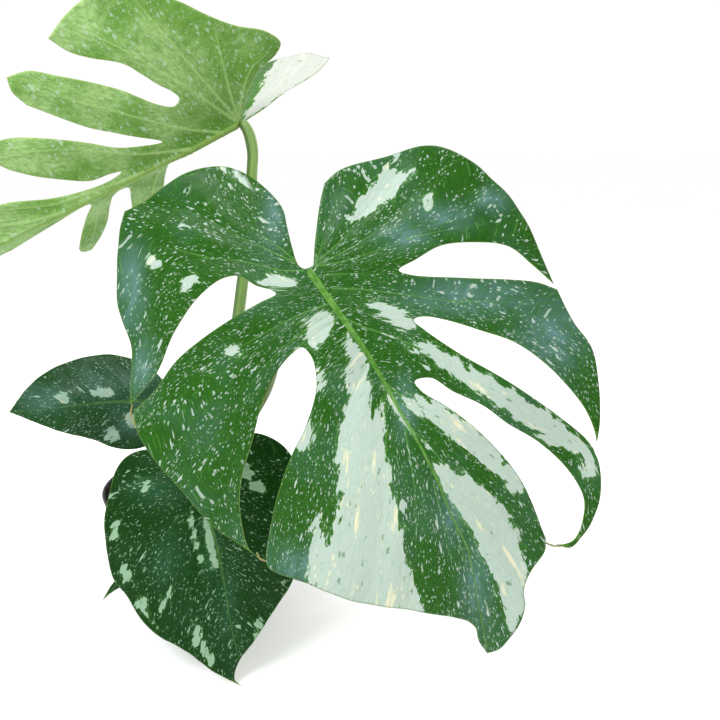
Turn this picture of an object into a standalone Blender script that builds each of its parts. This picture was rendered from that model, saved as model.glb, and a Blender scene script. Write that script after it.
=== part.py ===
"""Potted variegated monstera: a nursery pot of soil, a short stem, five petioles and five leaf blades.

Metres, +Z up. The origin is the centre of the pot's underside. Outlines are written in millimetres.
Each leaf blade is drawn flat, as it looks from the front eye point, and is then pushed along the lines
of sight to get its slope and camber, so its outline keeps its look while its surface bends.
"""

import math

import bmesh
import bpy
import numpy as np
from mathutils import Vector
from mathutils.geometry import delaunay_2d_cdt

MM = 0.001
FIT_GAP = 0.3 * MM  # between pieces that touch

# Pot
RIM_RADIUS = 80 * MM
BASE_RADIUS = 54 * MM
POT_HEIGHT = 116 * MM
POT_WALL = 1.8 * MM
RIM_BAND_HEIGHT = 14 * MM
RIM_BAND_STEP = 2.2 * MM
DRAIN_HOLE_RADIUS = 5 * MM
DRAIN_HOLE_COUNT = 8
DRAIN_HOLE_INSET = 13 * MM  # from the base's edge to a hole's centre
WATERING_DEPTH = 26 * MM  # from the rim down to the soil
ROUND_STEPS = 48

# Plant
STEM_RADIUS = 13 * MM
STEM_HEIGHT = 55 * MM  # above the soil
STEM_ROOTED = 25 * MM  # below the soil
BLADE_THICKNESS = 0.8 * MM
HEART_CLEARANCE = 12 * MM  # from the rim to the heart-shaped blade's joint, in front of it
SMALL_CLEARANCE = 5 * MM  # from the rim to the small blade's joint
OUTLINE_STEP = 7.0  # mm between points along a blade's edge
INNER_STEP = 15.0  # mm between points inside a blade
ROW_SHARE = 0.87  # of that step, between one row of inner points and the next
EDGE_SHARE = 0.55  # of that step, kept clear along the outline

SOIL_LEVEL = POT_HEIGHT - WATERING_DEPTH
CROWN = Vector((0, 0, SOIL_LEVEL))

# The front eye point, from which the blades are drawn
SIGHT_TILT = math.radians(15)
EYE = CROWN + Vector((148, -642, 312)) * MM
RIGHT = Vector((1, 0, 0))
UP = Vector((0, math.sin(SIGHT_TILT), math.cos(SIGHT_TILT)))
AWAY = Vector((0, math.cos(SIGHT_TILT), -math.sin(SIGHT_TILT)))

# Blade outlines in mm from the petiole's joint: right, up. Each run is one smooth curve, and the runs
# meet in corners. Margins alternate with the slits between lobes.
LARGE_LEAF = [
    [(3, 2), (-2, 0), (-6, 2), (-10, 13), (-13, 25), (-16, 37), (-24, 47), (-39, 58), (-56, 63), (-74, 59),
     (-89, 50), (-107, 38), (-113, 35)],
    [(-113, 35), (-116, 22), (-118, 5), (-118, -20), (-115, -31), (-110, -47), (-109, -64), (-109, -85)],
    [(-109, -85), (-94, -66), (-81, -38), (-69, -19), (-54, -7), (-43, -5), (-32, -11), (-22, -14), (-20, -16),
     (-29, -21), (-48, -32), (-67, -45), (-83, -59), (-97, -79), (-107, -89)],
    [(-107, -89), (-106, -100), (-98, -114), (-80, -135), (-63, -155), (-52, -165), (-35, -175), (-30, -179)],
    [(-30, -179), (-37, -172), (-42, -152), (-41, -131), (-35, -108), (-27, -79), (-19, -63), (-9, -52),
     (-4, -49), (2, -55), (5, -69), (4, -80), (-2, -99), (-10, -115), (-19, -141), (-24, -164), (-26, -178)],
    [(-26, -178), (-24, -185), (-9, -192), (14, -200), (32, -207), (56, -211), (80, -214), (98, -219),
     (106, -229), (112, -239)],
    [(112, -239), (120, -232), (130, -220), (134, -208), (133, -199), (138, -186), (146, -175), (147, -167)],
    [(147, -167), (138, -145), (127, -125), (110, -105), (88, -87), (70, -76), (66, -70), (76, -68), (89, -76),
     (108, -85), (123, -96), (143, -108), (161, -125), (170, -141), (170, -153), (164, -168), (156, -171),
     (150, -170)],
    [(150, -170), (162, -173), (169, -166), (176, -155), (180, -141), (180, -122), (176, -111)],
    [(176, -111), (170, -104), (154, -91), (137, -79), (117, -66), (94, -53), (73, -39), (65, -32), (71, -30),
     (88, -33), (107, -39), (127, -46), (143, -56), (157, -69), (171, -87), (176, -100), (178, -108)],
    [(178, -108), (180, -89), (179, -69), (175, -51), (164, -32), (154, -13)],
    [(154, -13), (142, -9), (122, -7), (96, -6), (63, -4), (56, -1), (66, 5), (82, 14), (102, 16), (123, 13),
     (138, 2), (152, -10)],
    [(152, -10), (144, 7), (131, 35), (118, 51), (102, 65), (85, 74), (71, 75), (46, 68), (20, 60), (10, 52)],
    [(10, 52), (7, 39), (4, 15), (3, 2)],
]
HEART_LEAF = [
    [(1, 0), (-8, 7), (-19, 14), (-38, 16), (-51, 11), (-61, -2), (-67, -25), (-69, -41), (-67, -63),
     (-62, -82), (-53, -94), (-41, -113), (-26, -127), (-4, -140), (18, -156), (38, -168)],
    [(38, -168), (31, -162), (31, -156), (35, -146), (45, -132), (62, -106), (75, -84), (83, -59), (86, -32),
     (82, -5), (69, 18), (51, 28), (35, 28), (19, 21), (8, 10), (1, 0)],
]
OVAL_LEAF = [
    [(-2, 2), (-4, 15), (-12, 25), (-26, 35), (-52, 42), (-77, 40), (-104, 30), (-127, 14), (-147, -10)],
    [(-147, -10), (-127, -18), (-100, -27), (-73, -34), (-44, -43), (-23, -41), (-9, -32), (-2, -17), (-2, 2)],
]
SMALL_LEAF = [
    [(-2, 0), (-10, 5), (-20, 3), (-30, -5), (-36, -16), (-37, -30), (-34, -41), (-33, -48), (-40, -58),
     (-46, -69)],
    [(-46, -69), (-39, -63), (-32, -59), (-21, -56), (-6, -48), (5, -34), (10, -18), (8, -4), (-2, 0)],
]
# The folded leaf's outline is along its midrib and across it: the near half above 0, the far half below.
FOLDED_LEAF = [
    [(2, 0), (-11, 15), (-21, 25), (-31, 32), (-47, 37), (-55, 44), (-49, 56), (-30, 70), (-14, 87), (-3, 101),
     (15, 117), (31, 126), (47, 128), (66, 124), (85, 115)],
    [(85, 115), (79, 102), (70, 93), (53, 80), (46, 68), (40, 56), (34, 47), (32, 40), (38, 36), (47, 42),
     (63, 62), (80, 79), (94, 91), (108, 102), (122, 104)],
    [(122, 104), (125, 94), (123, 82)],
    [(123, 82), (99, 50), (86, 38), (72, 25), (60, 14), (66, 15), (81, 22), (91, 28), (105, 40), (126, 55),
     (147, 67), (160, 70)],
    [(160, 70), (166, 60), (161, 47)],
    [(161, 47), (144, 29), (122, 12), (106, 10), (98, 8), (108, 6), (125, 7), (152, 14), (176, 25), (194, 30)],
    [(194, 30), (222, 20), (262, 0)],
    [(262, 0), (236, -16), (206, -22), (190, -20)],
    [(190, -20), (170, -14), (150, -8), (137, -7), (131, -12), (138, -30), (150, -55), (158, -78)],
    [(158, -78), (157, -88), (150, -94)],
    [(150, -94), (138, -80), (126, -55), (118, -30), (112, -12), (106, -7), (100, -12), (101, -35), (104, -60),
     (104, -80)],
    [(104, -80), (103, -98), (94, -110)],
    [(94, -110), (86, -92), (78, -65), (70, -35), (64, -14), (57, -9), (50, -14), (54, -50), (58, -90),
     (58, -118)],
    [(58, -118), (50, -134), (30, -138), (0, -128), (-30, -112), (-58, -88), (-74, -62), (-80, -45), (-70, -30),
     (-44, -18), (-20, -8), (2, 0)],
]

# How far each blade is pushed away from the eye, in mm, at a few of its points
LARGE_LEAF_BEND = [
    (0, 0, 0), (-60, 40, 8), (-113, 33, 26), (-60, -18, 4), (-109, -80, 36), (-106, -100, 30), (-60, -95, 8),
    (-32, -174, 24), (5, -120, 0), (10, -195, 16), (60, -130, -6), (80, -205, 14), (112, -238, 34),
    (140, -190, 24), (155, -168, 34), (110, -95, 4), (178, -140, 32), (120, -60, 2), (178, -95, 28), (70, -20, 0),
    (100, -2, 5), (156, -12, 24), (85, 35, 2), (70, 73, 14), (130, 35, 18), (12, 50, 8), (60, -70, 0),
]
HEART_LEAF_BEND = [
    (0, 0, 0), (-40, 10, 5), (-66, -30, 4), (-55, -85, 5), (-20, -60, -4), (10, -60, 0), (20, -110, -2),
    (36, -165, 6), (40, -60, -4), (84, -30, 10), (60, -105, 6), (50, 26, 8),
]
OVAL_LEAF_BEND = [
    (0, 0, 0), (-50, 0, -8), (-50, 40, 8), (-50, -40, 6), (-100, 5, -6), (-147, -10, 14), (-95, 32, 6),
]
SMALL_LEAF_BEND = [(0, 0, 0), (-20, -28, 2), (-36, -28, 10), (8, -26, 6), (-34, -52, 12), (-46, -69, 18)]
FOLDED_LEAF_BEND = [
    (0, 0, 0), (60, 60, -4), (50, 125, 8), (110, 90, 6), (-50, 45, 8), (160, 60, 10), (260, 0, 20), (120, 0, 2),
    (40, -70, -4), (50, -130, 8), (-75, -50, 8), (94, -105, 10), (150, -90, 10),
]

# The folded leaf's directions, as shares of right, up and away
FOLDED_MIDRIB = Vector((-0.86, -0.487, -0.15))
FOLDED_NEAR = Vector((-0.317, 0.56, -0.766))
FOLDED_FAR_RISING = Vector((-0.05, 0.62, 0.78))
FOLDED_FAR_HANGING = Vector((-0.12, -0.18, 0.97))
FOLD_CHANGE = (50, 72)  # mm along the midrib, where the far half turns from rising to hanging


def between(start, end, low, high, at):
    return start.lerp(end, (at - low) / (high - low))


def smooth_curve(points, step):
    """A centripetal Catmull-Rom curve through the points, with its points about step apart."""
    points = [Vector(point) for point in points]
    ends = [points[0] * 2 - points[1], *points, points[-1] * 2 - points[-2]]
    curve = []
    for p in zip(ends, ends[1:], ends[2:], ends[3:]):
        k = [0.0]
        for start, end in zip(p, p[1:]):
            k.append(k[-1] + math.sqrt(max((end - start).length, 1e-9)))
        count = max(1, round((p[2] - p[1]).length / step))
        for index in range(count):
            at = k[1] + (k[2] - k[1]) * index / count
            a = [between(p[i], p[i + 1], k[i], k[i + 1], at) for i in range(3)]
            b = [between(a[i], a[i + 1], k[i], k[i + 2], at) for i in range(2)]
            curve.append(between(b[0], b[1], k[1], k[2], at))
    curve.append(points[-1])
    return curve


def evenly_spaced(curve, step):
    """The same curve with points at equal distances close to step."""
    lengths = np.cumsum([0.0] + [(b - a).length for a, b in zip(curve, curve[1:])])
    count = max(2, round(lengths[-1] / step))
    at = np.linspace(0, lengths[-1], count + 1)
    held = np.array(curve)
    return np.column_stack([np.interp(at, lengths, held[:, axis]) for axis in range(held.shape[1])])


def closed_outline(runs, step):
    """All of a blade's runs as one closed outline, anticlockwise."""
    outline = np.concatenate([evenly_spaced(smooth_curve(run, 1.0), step)[:-1] for run in runs])
    x, y = outline.T
    clockwise = (x * np.roll(y, -1) - y * np.roll(x, -1)).sum() < 0
    return outline[::-1] if clockwise else outline


def triangulated(outline, step):
    """The flat blade's points and triangles: its outline, and a staggered grid inside it."""
    low, high = outline.min(axis=0), outline.max(axis=0)
    points = [Vector(point) for point in outline]
    for row, y in enumerate(np.arange(low[1], high[1], step * ROW_SHARE)):
        for x in np.arange(low[0] + step / 2 * (row % 2), high[0] + step / 2, step):
            if np.linalg.norm(outline - (x, y), axis=1).min() > step * EDGE_SHARE:
                points.append(Vector((x, y)))
    around = list(range(len(outline)))
    made = delaunay_2d_cdt(points, [], [around], 1, 1e-6)
    used, triangles = np.unique(np.array(made[2]), return_inverse=True)
    return np.array(made[0])[used], triangles.reshape(-1, 3)


class Bend:
    """A smooth surface through a few known heights: a thin-plate spline."""

    def __init__(self, heights):
        heights = np.array(heights, float)
        self.centres = heights[:, :2]
        count = len(heights)
        system = np.zeros((count + 3, count + 3))
        system[:count, :count] = self.kernel(self.centres)
        system[:count, count:] = np.column_stack([np.ones(count), self.centres])
        system[count:, :count] = system[:count, count:].T
        self.weights = np.linalg.solve(system, np.concatenate([heights[:, 2], np.zeros(3)]))

    def kernel(self, at):
        distance = np.linalg.norm(at[:, None] - self.centres[None], axis=2)
        return distance**2 * np.log(np.maximum(distance, 1e-6))

    def __call__(self, at):
        return np.column_stack([self.kernel(at), np.ones(len(at)), at]) @ self.weights


def pushed_away(points, distances):
    """Points moved along their lines of sight, by distances measured straight away from the eye."""
    eye = np.array(EYE)
    reach = (points - eye) @ np.array(AWAY)
    return eye + (points - eye) * (1 + distances / reach)[:, None]


def facing_blade(joint, flat, bend):
    """Places flat blade points, in mm, on a plane that faces the eye, and bends it."""
    plane = np.array([RIGHT, UP]) * MM
    return pushed_away(np.array(joint) + flat @ plane, Bend(bend)(flat) * MM)


def eased(value, low, high):
    share = np.clip((value - low) / (high - low), 0, 1)
    return share * share * (3 - 2 * share)


def folded_blade(joint, flat, bend):
    """Places the folded leaf, whose two halves slope differently from its midrib."""
    sight = np.array([RIGHT, UP, AWAY])
    midrib, near, rising, hanging = (
        np.array(way) @ sight * MM for way in (FOLDED_MIDRIB, FOLDED_NEAR, FOLDED_FAR_RISING, FOLDED_FAR_HANGING)
    )
    share = eased(flat[:, 0], *FOLD_CHANGE)[:, None]
    far = rising * (1 - share) + hanging * share
    across = np.where(flat[:, 1:] > 0, near, far) * np.abs(flat[:, 1:])
    return pushed_away(np.array(joint) + flat[:, :1] * midrib + across, Bend(bend)(flat) * MM)


def point_normals(points, triangles):
    corners = points[triangles]
    facing = np.cross(corners[:, 1] - corners[:, 0], corners[:, 2] - corners[:, 0])
    normals = np.zeros_like(points)
    for corner in range(3):
        np.add.at(normals, triangles[:, corner], facing)
    return normals / np.linalg.norm(normals, axis=1, keepdims=True)


def new_object(name, points, faces, material):
    mesh = bpy.data.meshes.new(name)
    mesh.from_pydata([tuple(point) for point in points], [], [tuple(face) for face in faces])
    mesh.materials.append(material)
    mesh.shade_smooth()
    mesh.set_sharp_from_angle(angle=math.radians(40))
    made = bpy.data.objects.new(name, mesh)
    bpy.context.scene.collection.objects.link(made)
    return made


def make_blade(name, joint, runs, bend, place, material):
    """A leaf blade as a thin closed solid: two bent faces joined along the outline."""
    outline = closed_outline(runs, OUTLINE_STEP)
    flat, triangles = triangulated(outline, INNER_STEP)
    middle = place(joint, flat, bend)
    out = point_normals(middle, triangles) * BLADE_THICKNESS / 2
    count, edge = len(flat), len(outline)
    faces = [tuple(face) for face in triangles]
    faces += [tuple(int(index) + count for index in face[::-1]) for face in triangles]
    for start in range(edge):
        end = (start + 1) % edge
        faces.append((end, start, start + count, end + count))
    return new_object(name, np.concatenate([middle + out, middle - out]), faces, material)


def make_tube(name, route, start_radius, end_radius, material, sides=10, step=12 * MM):
    """A stalk along a smooth route, narrowing from its start to its end. Its flat ends are square to the
    route's first and last stretch."""
    centres = evenly_spaced(smooth_curve(route, 1 * MM), step)
    count = len(centres)
    along = np.gradient(centres, axis=0)
    along[0] = np.array(route[1] - route[0])
    along[-1] = np.array(route[-1] - route[-2])
    across = Vector((0, 0, 1)).cross(Vector(along[0]))
    if across.length < 0.2 * Vector(along[0]).length:
        across = Vector((1, 0, 0))
    points = []
    for index, (centre, way) in enumerate(zip(centres, along)):
        way = Vector(way).normalized()
        across = (across - way * across.dot(way)).normalized()
        other = way.cross(across)
        radius = start_radius + (end_radius - start_radius) * math.sqrt(index / (count - 1))
        for side in range(sides):
            turn = 2 * math.pi * side / sides
            points.append(Vector(centre) + (across * math.cos(turn) + other * math.sin(turn)) * radius)
    faces = [tuple(reversed(range(sides)))]
    for ring in range(count - 1):
        for side in range(sides):
            after = (side + 1) % sides
            low, high = ring * sides, (ring + 1) * sides
            faces.append((low + side, low + after, high + after, high + side))
    faces.append(tuple(range((count - 1) * sides, count * sides)))
    return new_object(name, points, faces, material)


def make_turned(name, profile, material):
    """A solid of revolution. The profile is (radius, height) points, and it starts and ends on the axis."""
    shape = bmesh.new()
    corners = [shape.verts.new((radius, 0, height)) for radius, height in profile]
    edges = [shape.edges.new(pair) for pair in zip(corners, corners[1:])]
    bmesh.ops.spin(shape, geom=corners + edges, cent=(0, 0, 0), axis=(0, 0, 1), angle=2 * math.pi,
                   steps=ROUND_STEPS, use_merge=True)
    bmesh.ops.remove_doubles(shape, verts=shape.verts, dist=0.00001)
    bmesh.ops.recalc_face_normals(shape, faces=shape.faces)
    mesh = bpy.data.meshes.new(name)
    shape.to_mesh(mesh)
    shape.free()
    mesh.materials.append(material)
    mesh.shade_smooth()
    mesh.set_sharp_from_angle(angle=math.radians(40))
    made = bpy.data.objects.new(name, mesh)
    bpy.context.scene.collection.objects.link(made)
    return made


def cut(target, cutter):
    cutter.hide_render = True
    cutter.display_type = "WIRE"
    boolean = target.modifiers.new("cut_" + cutter.name, "BOOLEAN")
    boolean.operation = "DIFFERENCE"
    boolean.solver = "EXACT"
    boolean.object = cutter


def make_material(name, colour, roughness):
    material = bpy.data.materials.new(name)
    material.use_nodes = True
    shader = material.node_tree.nodes["Principled BSDF"]
    shader.inputs["Base Color"].default_value = (*colour, 1)
    shader.inputs["Roughness"].default_value = roughness
    shader.inputs["Metallic"].default_value = 0
    return material


def wall_radius(height):
    """The pot's outer radius at a height, below its rim band."""
    return BASE_RADIUS + (RIM_RADIUS - RIM_BAND_STEP - BASE_RADIUS) * height / POT_HEIGHT


def make_pot(material):
    """A tapered nursery pot with a stepped rim band and a ring of drain holes in its floor."""
    band = POT_HEIGHT - RIM_BAND_HEIGHT
    pot = make_turned("pot", [
        (0, 0),
        (BASE_RADIUS, 0),
        (wall_radius(band), band),
        (wall_radius(band) + RIM_BAND_STEP, band),
        (RIM_RADIUS, POT_HEIGHT),
        (RIM_RADIUS - POT_WALL, POT_HEIGHT),
        (wall_radius(POT_WALL) - POT_WALL, POT_WALL),
        (0, POT_WALL),
    ], material)
    around = BASE_RADIUS - DRAIN_HOLE_INSET
    holes = bmesh.new()
    for index in range(DRAIN_HOLE_COUNT):
        turn = 2 * math.pi * index / DRAIN_HOLE_COUNT
        place = Vector((around * math.cos(turn), around * math.sin(turn), 0))
        made = bmesh.ops.create_cone(holes, cap_ends=True, segments=12, radius1=DRAIN_HOLE_RADIUS,
                                     radius2=DRAIN_HOLE_RADIUS, depth=4 * POT_WALL)
        bmesh.ops.translate(holes, verts=made["verts"], vec=place)
    mesh = bpy.data.meshes.new("drain_holes")
    holes.to_mesh(mesh)
    holes.free()
    cutter = bpy.data.objects.new("drain_holes", mesh)
    bpy.context.scene.collection.objects.link(cutter)
    cut(pot, cutter)
    return pot


def inner_radius(height):
    """The pot's inner radius at a height."""
    low = wall_radius(POT_WALL) - POT_WALL
    high = RIM_RADIUS - POT_WALL
    return low + (high - low) * (height - POT_WALL) / (POT_HEIGHT - POT_WALL)


def make_soil(material):
    """The soil fills the pot up to the watering space, and has a pocket that the stem stands in."""
    floor = POT_WALL + FIT_GAP
    pocket = STEM_RADIUS + FIT_GAP
    pocket_floor = SOIL_LEVEL - STEM_ROOTED - FIT_GAP
    return make_turned("soil", [
        (0, floor),
        (inner_radius(floor) - 2 * FIT_GAP, floor),
        (inner_radius(SOIL_LEVEL) - 2 * FIT_GAP, SOIL_LEVEL),
        (pocket, SOIL_LEVEL),
        (pocket, pocket_floor),
        (0, pocket_floor),
    ], material)


def make_stem(material):
    """The short main stem, with a swelling at each leaf scar and a rounded top."""
    profile = [(0, SOIL_LEVEL - STEM_ROOTED), (STEM_RADIUS, SOIL_LEVEL - STEM_ROOTED), (STEM_RADIUS, SOIL_LEVEL)]
    for share in (0.2, 0.45, 0.7):
        height = SOIL_LEVEL + STEM_HEIGHT * share
        profile += [(STEM_RADIUS * 0.9, height - 3 * MM), (STEM_RADIUS, height)]
    top = SOIL_LEVEL + STEM_HEIGHT
    profile += [(STEM_RADIUS * 0.85, top - 6 * MM), (STEM_RADIUS * 0.55, top - 1.5 * MM), (0, top)]
    return make_turned("stem", profile, material)


def stalk_base(turn, height, radius):
    """Where a stalk starts, beside the stem: turn in degrees round it, height in mm above the soil."""
    away = STEM_RADIUS + radius + FIT_GAP
    angle = math.radians(turn)
    return CROWN + Vector((math.cos(angle) * away, math.sin(angle) * away, height * MM))


def make_petiole(name, turn, height, middle, back, base_radius, end_radius, material):
    """A leaf stalk from the stem, up through its middle points, to the back of its blade.

    middle is in mm from the crown, and back is the blade's back: (a point on it, the way out of it).
    """
    joint, out = back
    base = stalk_base(turn, height, base_radius)
    gap = BLADE_THICKNESS / 2 + 2 * FIT_GAP
    route = [base, base + Vector((0, 0, 14 * MM))]
    route += [CROWN + Vector(point) * MM for point in middle]
    route += [joint + out * (gap + 2.2 * end_radius), joint + out * gap]
    return make_tube(name, route, base_radius, end_radius, material)


def blade_back(joint, bend, at):
    """A point on the back of a facing blade, and the way straight out of it."""
    corners = facing_blade(joint, np.array([at, (at[0] + 1, at[1]), (at[0], at[1] + 1)]), bend)
    right, up = corners[1] - corners[0], corners[2] - corners[0]
    return Vector(corners[0]), Vector(np.cross(up, right)).normalized()


def clear_scene():
    for old in list(bpy.data.objects):
        bpy.data.objects.remove(old)


def main():
    clear_scene()
    leaf_green = make_material("leaf_green", (0.035, 0.11, 0.03), 0.4)
    under_green = make_material("leaf_light_green", (0.25, 0.40, 0.14), 0.5)
    stalk_green = make_material("stalk_green", (0.14, 0.24, 0.06), 0.45)
    stem_brown = make_material("stem_brown", (0.16, 0.17, 0.06), 0.7)
    root_brown = make_material("root_brown", (0.20, 0.12, 0.06), 0.8)
    pot_black = make_material("pot_black", (0.012, 0.012, 0.013), 0.45)
    soil_dark = make_material("soil_dark", (0.045, 0.028, 0.018), 0.95)

    make_pot(pot_black)
    make_soil(soil_dark)
    make_stem(stem_brown)

    # Where each petiole meets its blade. The heart and small leaves hang in front of the rim.
    large = CROWN + Vector((116, -165, 243)) * MM
    folded = CROWN + Vector((56, -15, 335)) * MM
    heart = CROWN + Vector((21 * MM, -RIM_RADIUS - HEART_CLEARANCE, 77 * MM))
    oval = CROWN + Vector((-24, 24, 95)) * MM
    small = CROWN + Vector((-10 * MM, -RIM_RADIUS - SMALL_CLEARANCE, WATERING_DEPTH + 11 * MM))

    make_blade("leaf_blade_large", large, LARGE_LEAF, LARGE_LEAF_BEND, facing_blade, leaf_green)
    make_blade("leaf_blade_folded", folded, FOLDED_LEAF, FOLDED_LEAF_BEND, folded_blade, under_green)
    make_blade("leaf_blade_heart", heart, HEART_LEAF, HEART_LEAF_BEND, facing_blade, leaf_green)
    make_blade("leaf_blade_oval", oval, OVAL_LEAF, OVAL_LEAF_BEND, facing_blade, leaf_green)
    make_blade("leaf_blade_small", small, SMALL_LEAF, SMALL_LEAF_BEND, facing_blade, leaf_green)

    behind_large = blade_back(large, LARGE_LEAF_BEND, (2, -7))
    behind_heart = blade_back(heart, HEART_LEAF_BEND, (1, -5))
    behind_oval = blade_back(oval, OVAL_LEAF_BEND, (-8, 0))
    behind_small = blade_back(small, SMALL_LEAF_BEND, (-2, -5))
    hooked = RIGHT * 0.6 - UP * 0.8  # the folded leaf's petiole bends over to meet it
    make_petiole("petiole_large", -32, 28, [(34, -16, 60), (54, -27, 95), (72, -49, 128), (83, -72, 159),
                                            (100, -116, 207), (111, -140, 228)],
                 behind_large, 7 * MM, 3.9 * MM, stalk_green)
    make_petiole("petiole_folded", 15, 34, [(26, 1, 82), (38, -8, 137), (47, -14, 182), (52, -15, 212),
                                            (60, -17, 257), (63, -19, 296), (64, -18, 314)],
                 (folded, hooked), 8 * MM, 4.1 * MM, stalk_green)
    make_petiole("petiole_heart", -72, 12, [(9, -36, 48), (15, -58, 74), (20, -76, 82)],
                 behind_heart, 4.5 * MM, 2.4 * MM, stalk_green)
    make_petiole("petiole_oval", 130, 20, [(-17, 19, 62), (-23, 27, 84)],
                 behind_oval, 4.5 * MM, 2.4 * MM, stalk_green)
    over_rim = WATERING_DEPTH / MM + 16
    make_petiole("petiole_small", -120, 6, [(-10, -34, 32), (-10, -54, over_rim)],
                 behind_small, 3.5 * MM, 2 * MM, stalk_green)

    for name, turn, height, spread in (("aerial_root_left", 200, 26, 26), ("aerial_root_back", 70, 34, 24)):
        root_radius = 2.2 * MM
        way = Vector((math.cos(math.radians(turn)), math.sin(math.radians(turn)), 0))
        start = stalk_base(turn, height, root_radius)
        landing = CROWN + way * (STEM_RADIUS + spread * MM)
        route = [start, start + way * 9 * MM - Vector((0, 0, 2 * MM)),
                 landing + Vector((0, 0, height * 0.45 * MM)), landing + Vector((0, 0, FIT_GAP))]
        make_tube(name, route, root_radius, root_radius * 0.8, root_brown, sides=8, step=5 * MM)


main()
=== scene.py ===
"""Looks of the potted variegated monstera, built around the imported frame.

Sizes are in metres, and leaf designs are in millimetres, as seen from the front eye point.
"""

import math
import random

import bmesh
import bpy
import numpy as np
from mathutils import Euler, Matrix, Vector
from mathutils import noise as mathutils_noise
from mathutils.geometry import delaunay_2d_cdt
from mathutils.kdtree import KDTree


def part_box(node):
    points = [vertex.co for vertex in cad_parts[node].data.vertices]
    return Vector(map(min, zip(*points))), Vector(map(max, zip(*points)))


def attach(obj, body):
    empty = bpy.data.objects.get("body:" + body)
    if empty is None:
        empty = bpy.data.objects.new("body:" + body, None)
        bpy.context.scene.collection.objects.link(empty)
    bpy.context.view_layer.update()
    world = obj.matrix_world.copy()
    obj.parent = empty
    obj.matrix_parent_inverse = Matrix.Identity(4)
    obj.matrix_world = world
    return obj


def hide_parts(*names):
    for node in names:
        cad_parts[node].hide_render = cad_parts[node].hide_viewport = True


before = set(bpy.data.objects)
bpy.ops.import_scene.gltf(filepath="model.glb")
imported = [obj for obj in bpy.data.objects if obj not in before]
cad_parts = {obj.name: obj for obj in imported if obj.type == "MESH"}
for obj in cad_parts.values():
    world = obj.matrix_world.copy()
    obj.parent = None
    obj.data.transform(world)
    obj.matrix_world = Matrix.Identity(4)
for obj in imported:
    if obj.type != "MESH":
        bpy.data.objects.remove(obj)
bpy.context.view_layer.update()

MM = 0.001
SOIL_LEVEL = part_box("soil")[1][2]
POT_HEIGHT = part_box("pot")[1][2]
WATERING_DEPTH = POT_HEIGHT - SOIL_LEVEL
RIM_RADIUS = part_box("pot")[1][0]
CROWN = Vector((0, 0, SOIL_LEVEL))
STEM_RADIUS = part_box("stem")[1][0]
STEM_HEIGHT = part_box("stem")[1][2] - SOIL_LEVEL
FIT_GAP = 0.3 * MM
HEART_CLEARANCE = 12 * MM
SMALL_CLEARANCE = 5 * MM

# The front eye point: the blades are drawn as it sees them, and the camera stands there.
SIGHT_TILT = math.radians(15)
EYE = CROWN + Vector((148, -642, 312)) * MM
RIGHT = Vector((1, 0, 0))
UP = Vector((0, math.sin(SIGHT_TILT), math.cos(SIGHT_TILT)))
AWAY = Vector((0, math.cos(SIGHT_TILT), -math.sin(SIGHT_TILT)))

BLADE_THICKNESS = 0.6  # mm
EDGE_THICKNESS = 0.3  # mm

# Blade outlines in mm from the petiole's joint: right, up. Each run is one smooth curve that starts at the
# corner where the run before it ends. Margins alternate with the slits between lobes.
LARGE_LEAF = [
    [(-2, 0), (-6, 2), (-10, 13), (-13, 25), (-16, 37), (-24, 47), (-39, 58), (-56, 63), (-74, 59),
     (-89, 50), (-107, 38), (-113, 35)],
    [(-116, 22), (-118, 5), (-118, -20), (-115, -31), (-110, -47), (-109, -64), (-109, -85)],
    [(-94, -66), (-81, -38), (-69, -19), (-54, -7), (-43, -5), (-32, -11), (-22, -14), (-20, -16),
     (-29, -21), (-48, -32), (-67, -45), (-83, -59), (-97, -79), (-107, -89)],
    [(-106, -100), (-98, -114), (-80, -135), (-63, -155), (-52, -165), (-35, -175), (-30, -179)],
    [(-37, -172), (-42, -152), (-41, -131), (-35, -108), (-27, -79), (-19, -63), (-9, -52), (-4, -49),
     (2, -55), (5, -69), (4, -80), (-2, -99), (-10, -115), (-19, -141), (-24, -164), (-26, -178)],
    [(-24, -185), (-9, -192), (14, -200), (32, -207), (56, -211), (80, -214), (98, -219), (104, -224),
     (106, -232), (111, -239)],
    [(116, -237), (124, -229), (131, -218), (134, -208), (133, -199), (138, -186), (146, -175),
     (147, -167)],
    [(138, -145), (127, -125), (110, -105), (88, -87), (70, -76), (66, -70), (76, -68), (89, -76),
     (108, -85), (123, -96), (143, -108), (161, -125), (170, -141), (170, -153), (164, -168), (156, -171),
     (150, -170)],
    [(162, -173), (169, -166), (176, -155), (180, -141), (180, -122), (176, -111)],
    [(170, -104), (154, -91), (137, -79), (117, -66), (94, -53), (73, -39), (65, -32), (71, -30),
     (88, -33), (107, -39), (127, -46), (143, -56), (157, -69), (171, -87), (176, -100), (178, -108)],
    [(180, -89), (179, -69), (175, -51), (164, -32), (154, -13)],
    [(142, -9), (122, -7), (96, -6), (63, -4), (56, -1), (66, 5), (82, 14), (102, 16), (123, 13), (138, 2),
     (152, -10)],
    [(144, 7), (131, 35), (118, 51), (102, 65), (85, 74), (71, 75), (46, 68), (20, 60), (10, 52)],
    [(7, 39), (4, 15), (3, 2)],
]
HEART_LEAF = [
    [(-8, 7), (-19, 14), (-38, 16), (-51, 11), (-61, -2), (-67, -25), (-69, -41), (-67, -63), (-62, -82),
     (-53, -94), (-41, -113), (-26, -127), (-4, -140), (18, -156), (38, -168)],
    [(31, -162), (31, -156), (35, -146), (45, -132), (62, -106), (75, -84), (83, -59), (86, -32), (82, -5),
     (69, 18), (51, 28), (35, 28), (19, 21), (8, 10), (1, 0)],
]
OVAL_LEAF = [
    [(-4, 15), (-12, 25), (-26, 35), (-52, 42), (-77, 40), (-104, 30), (-127, 14), (-147, -10)],
    [(-127, -18), (-100, -27), (-73, -34), (-44, -43), (-23, -41), (-9, -32), (-2, -17), (-2, 2)],
]
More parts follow.
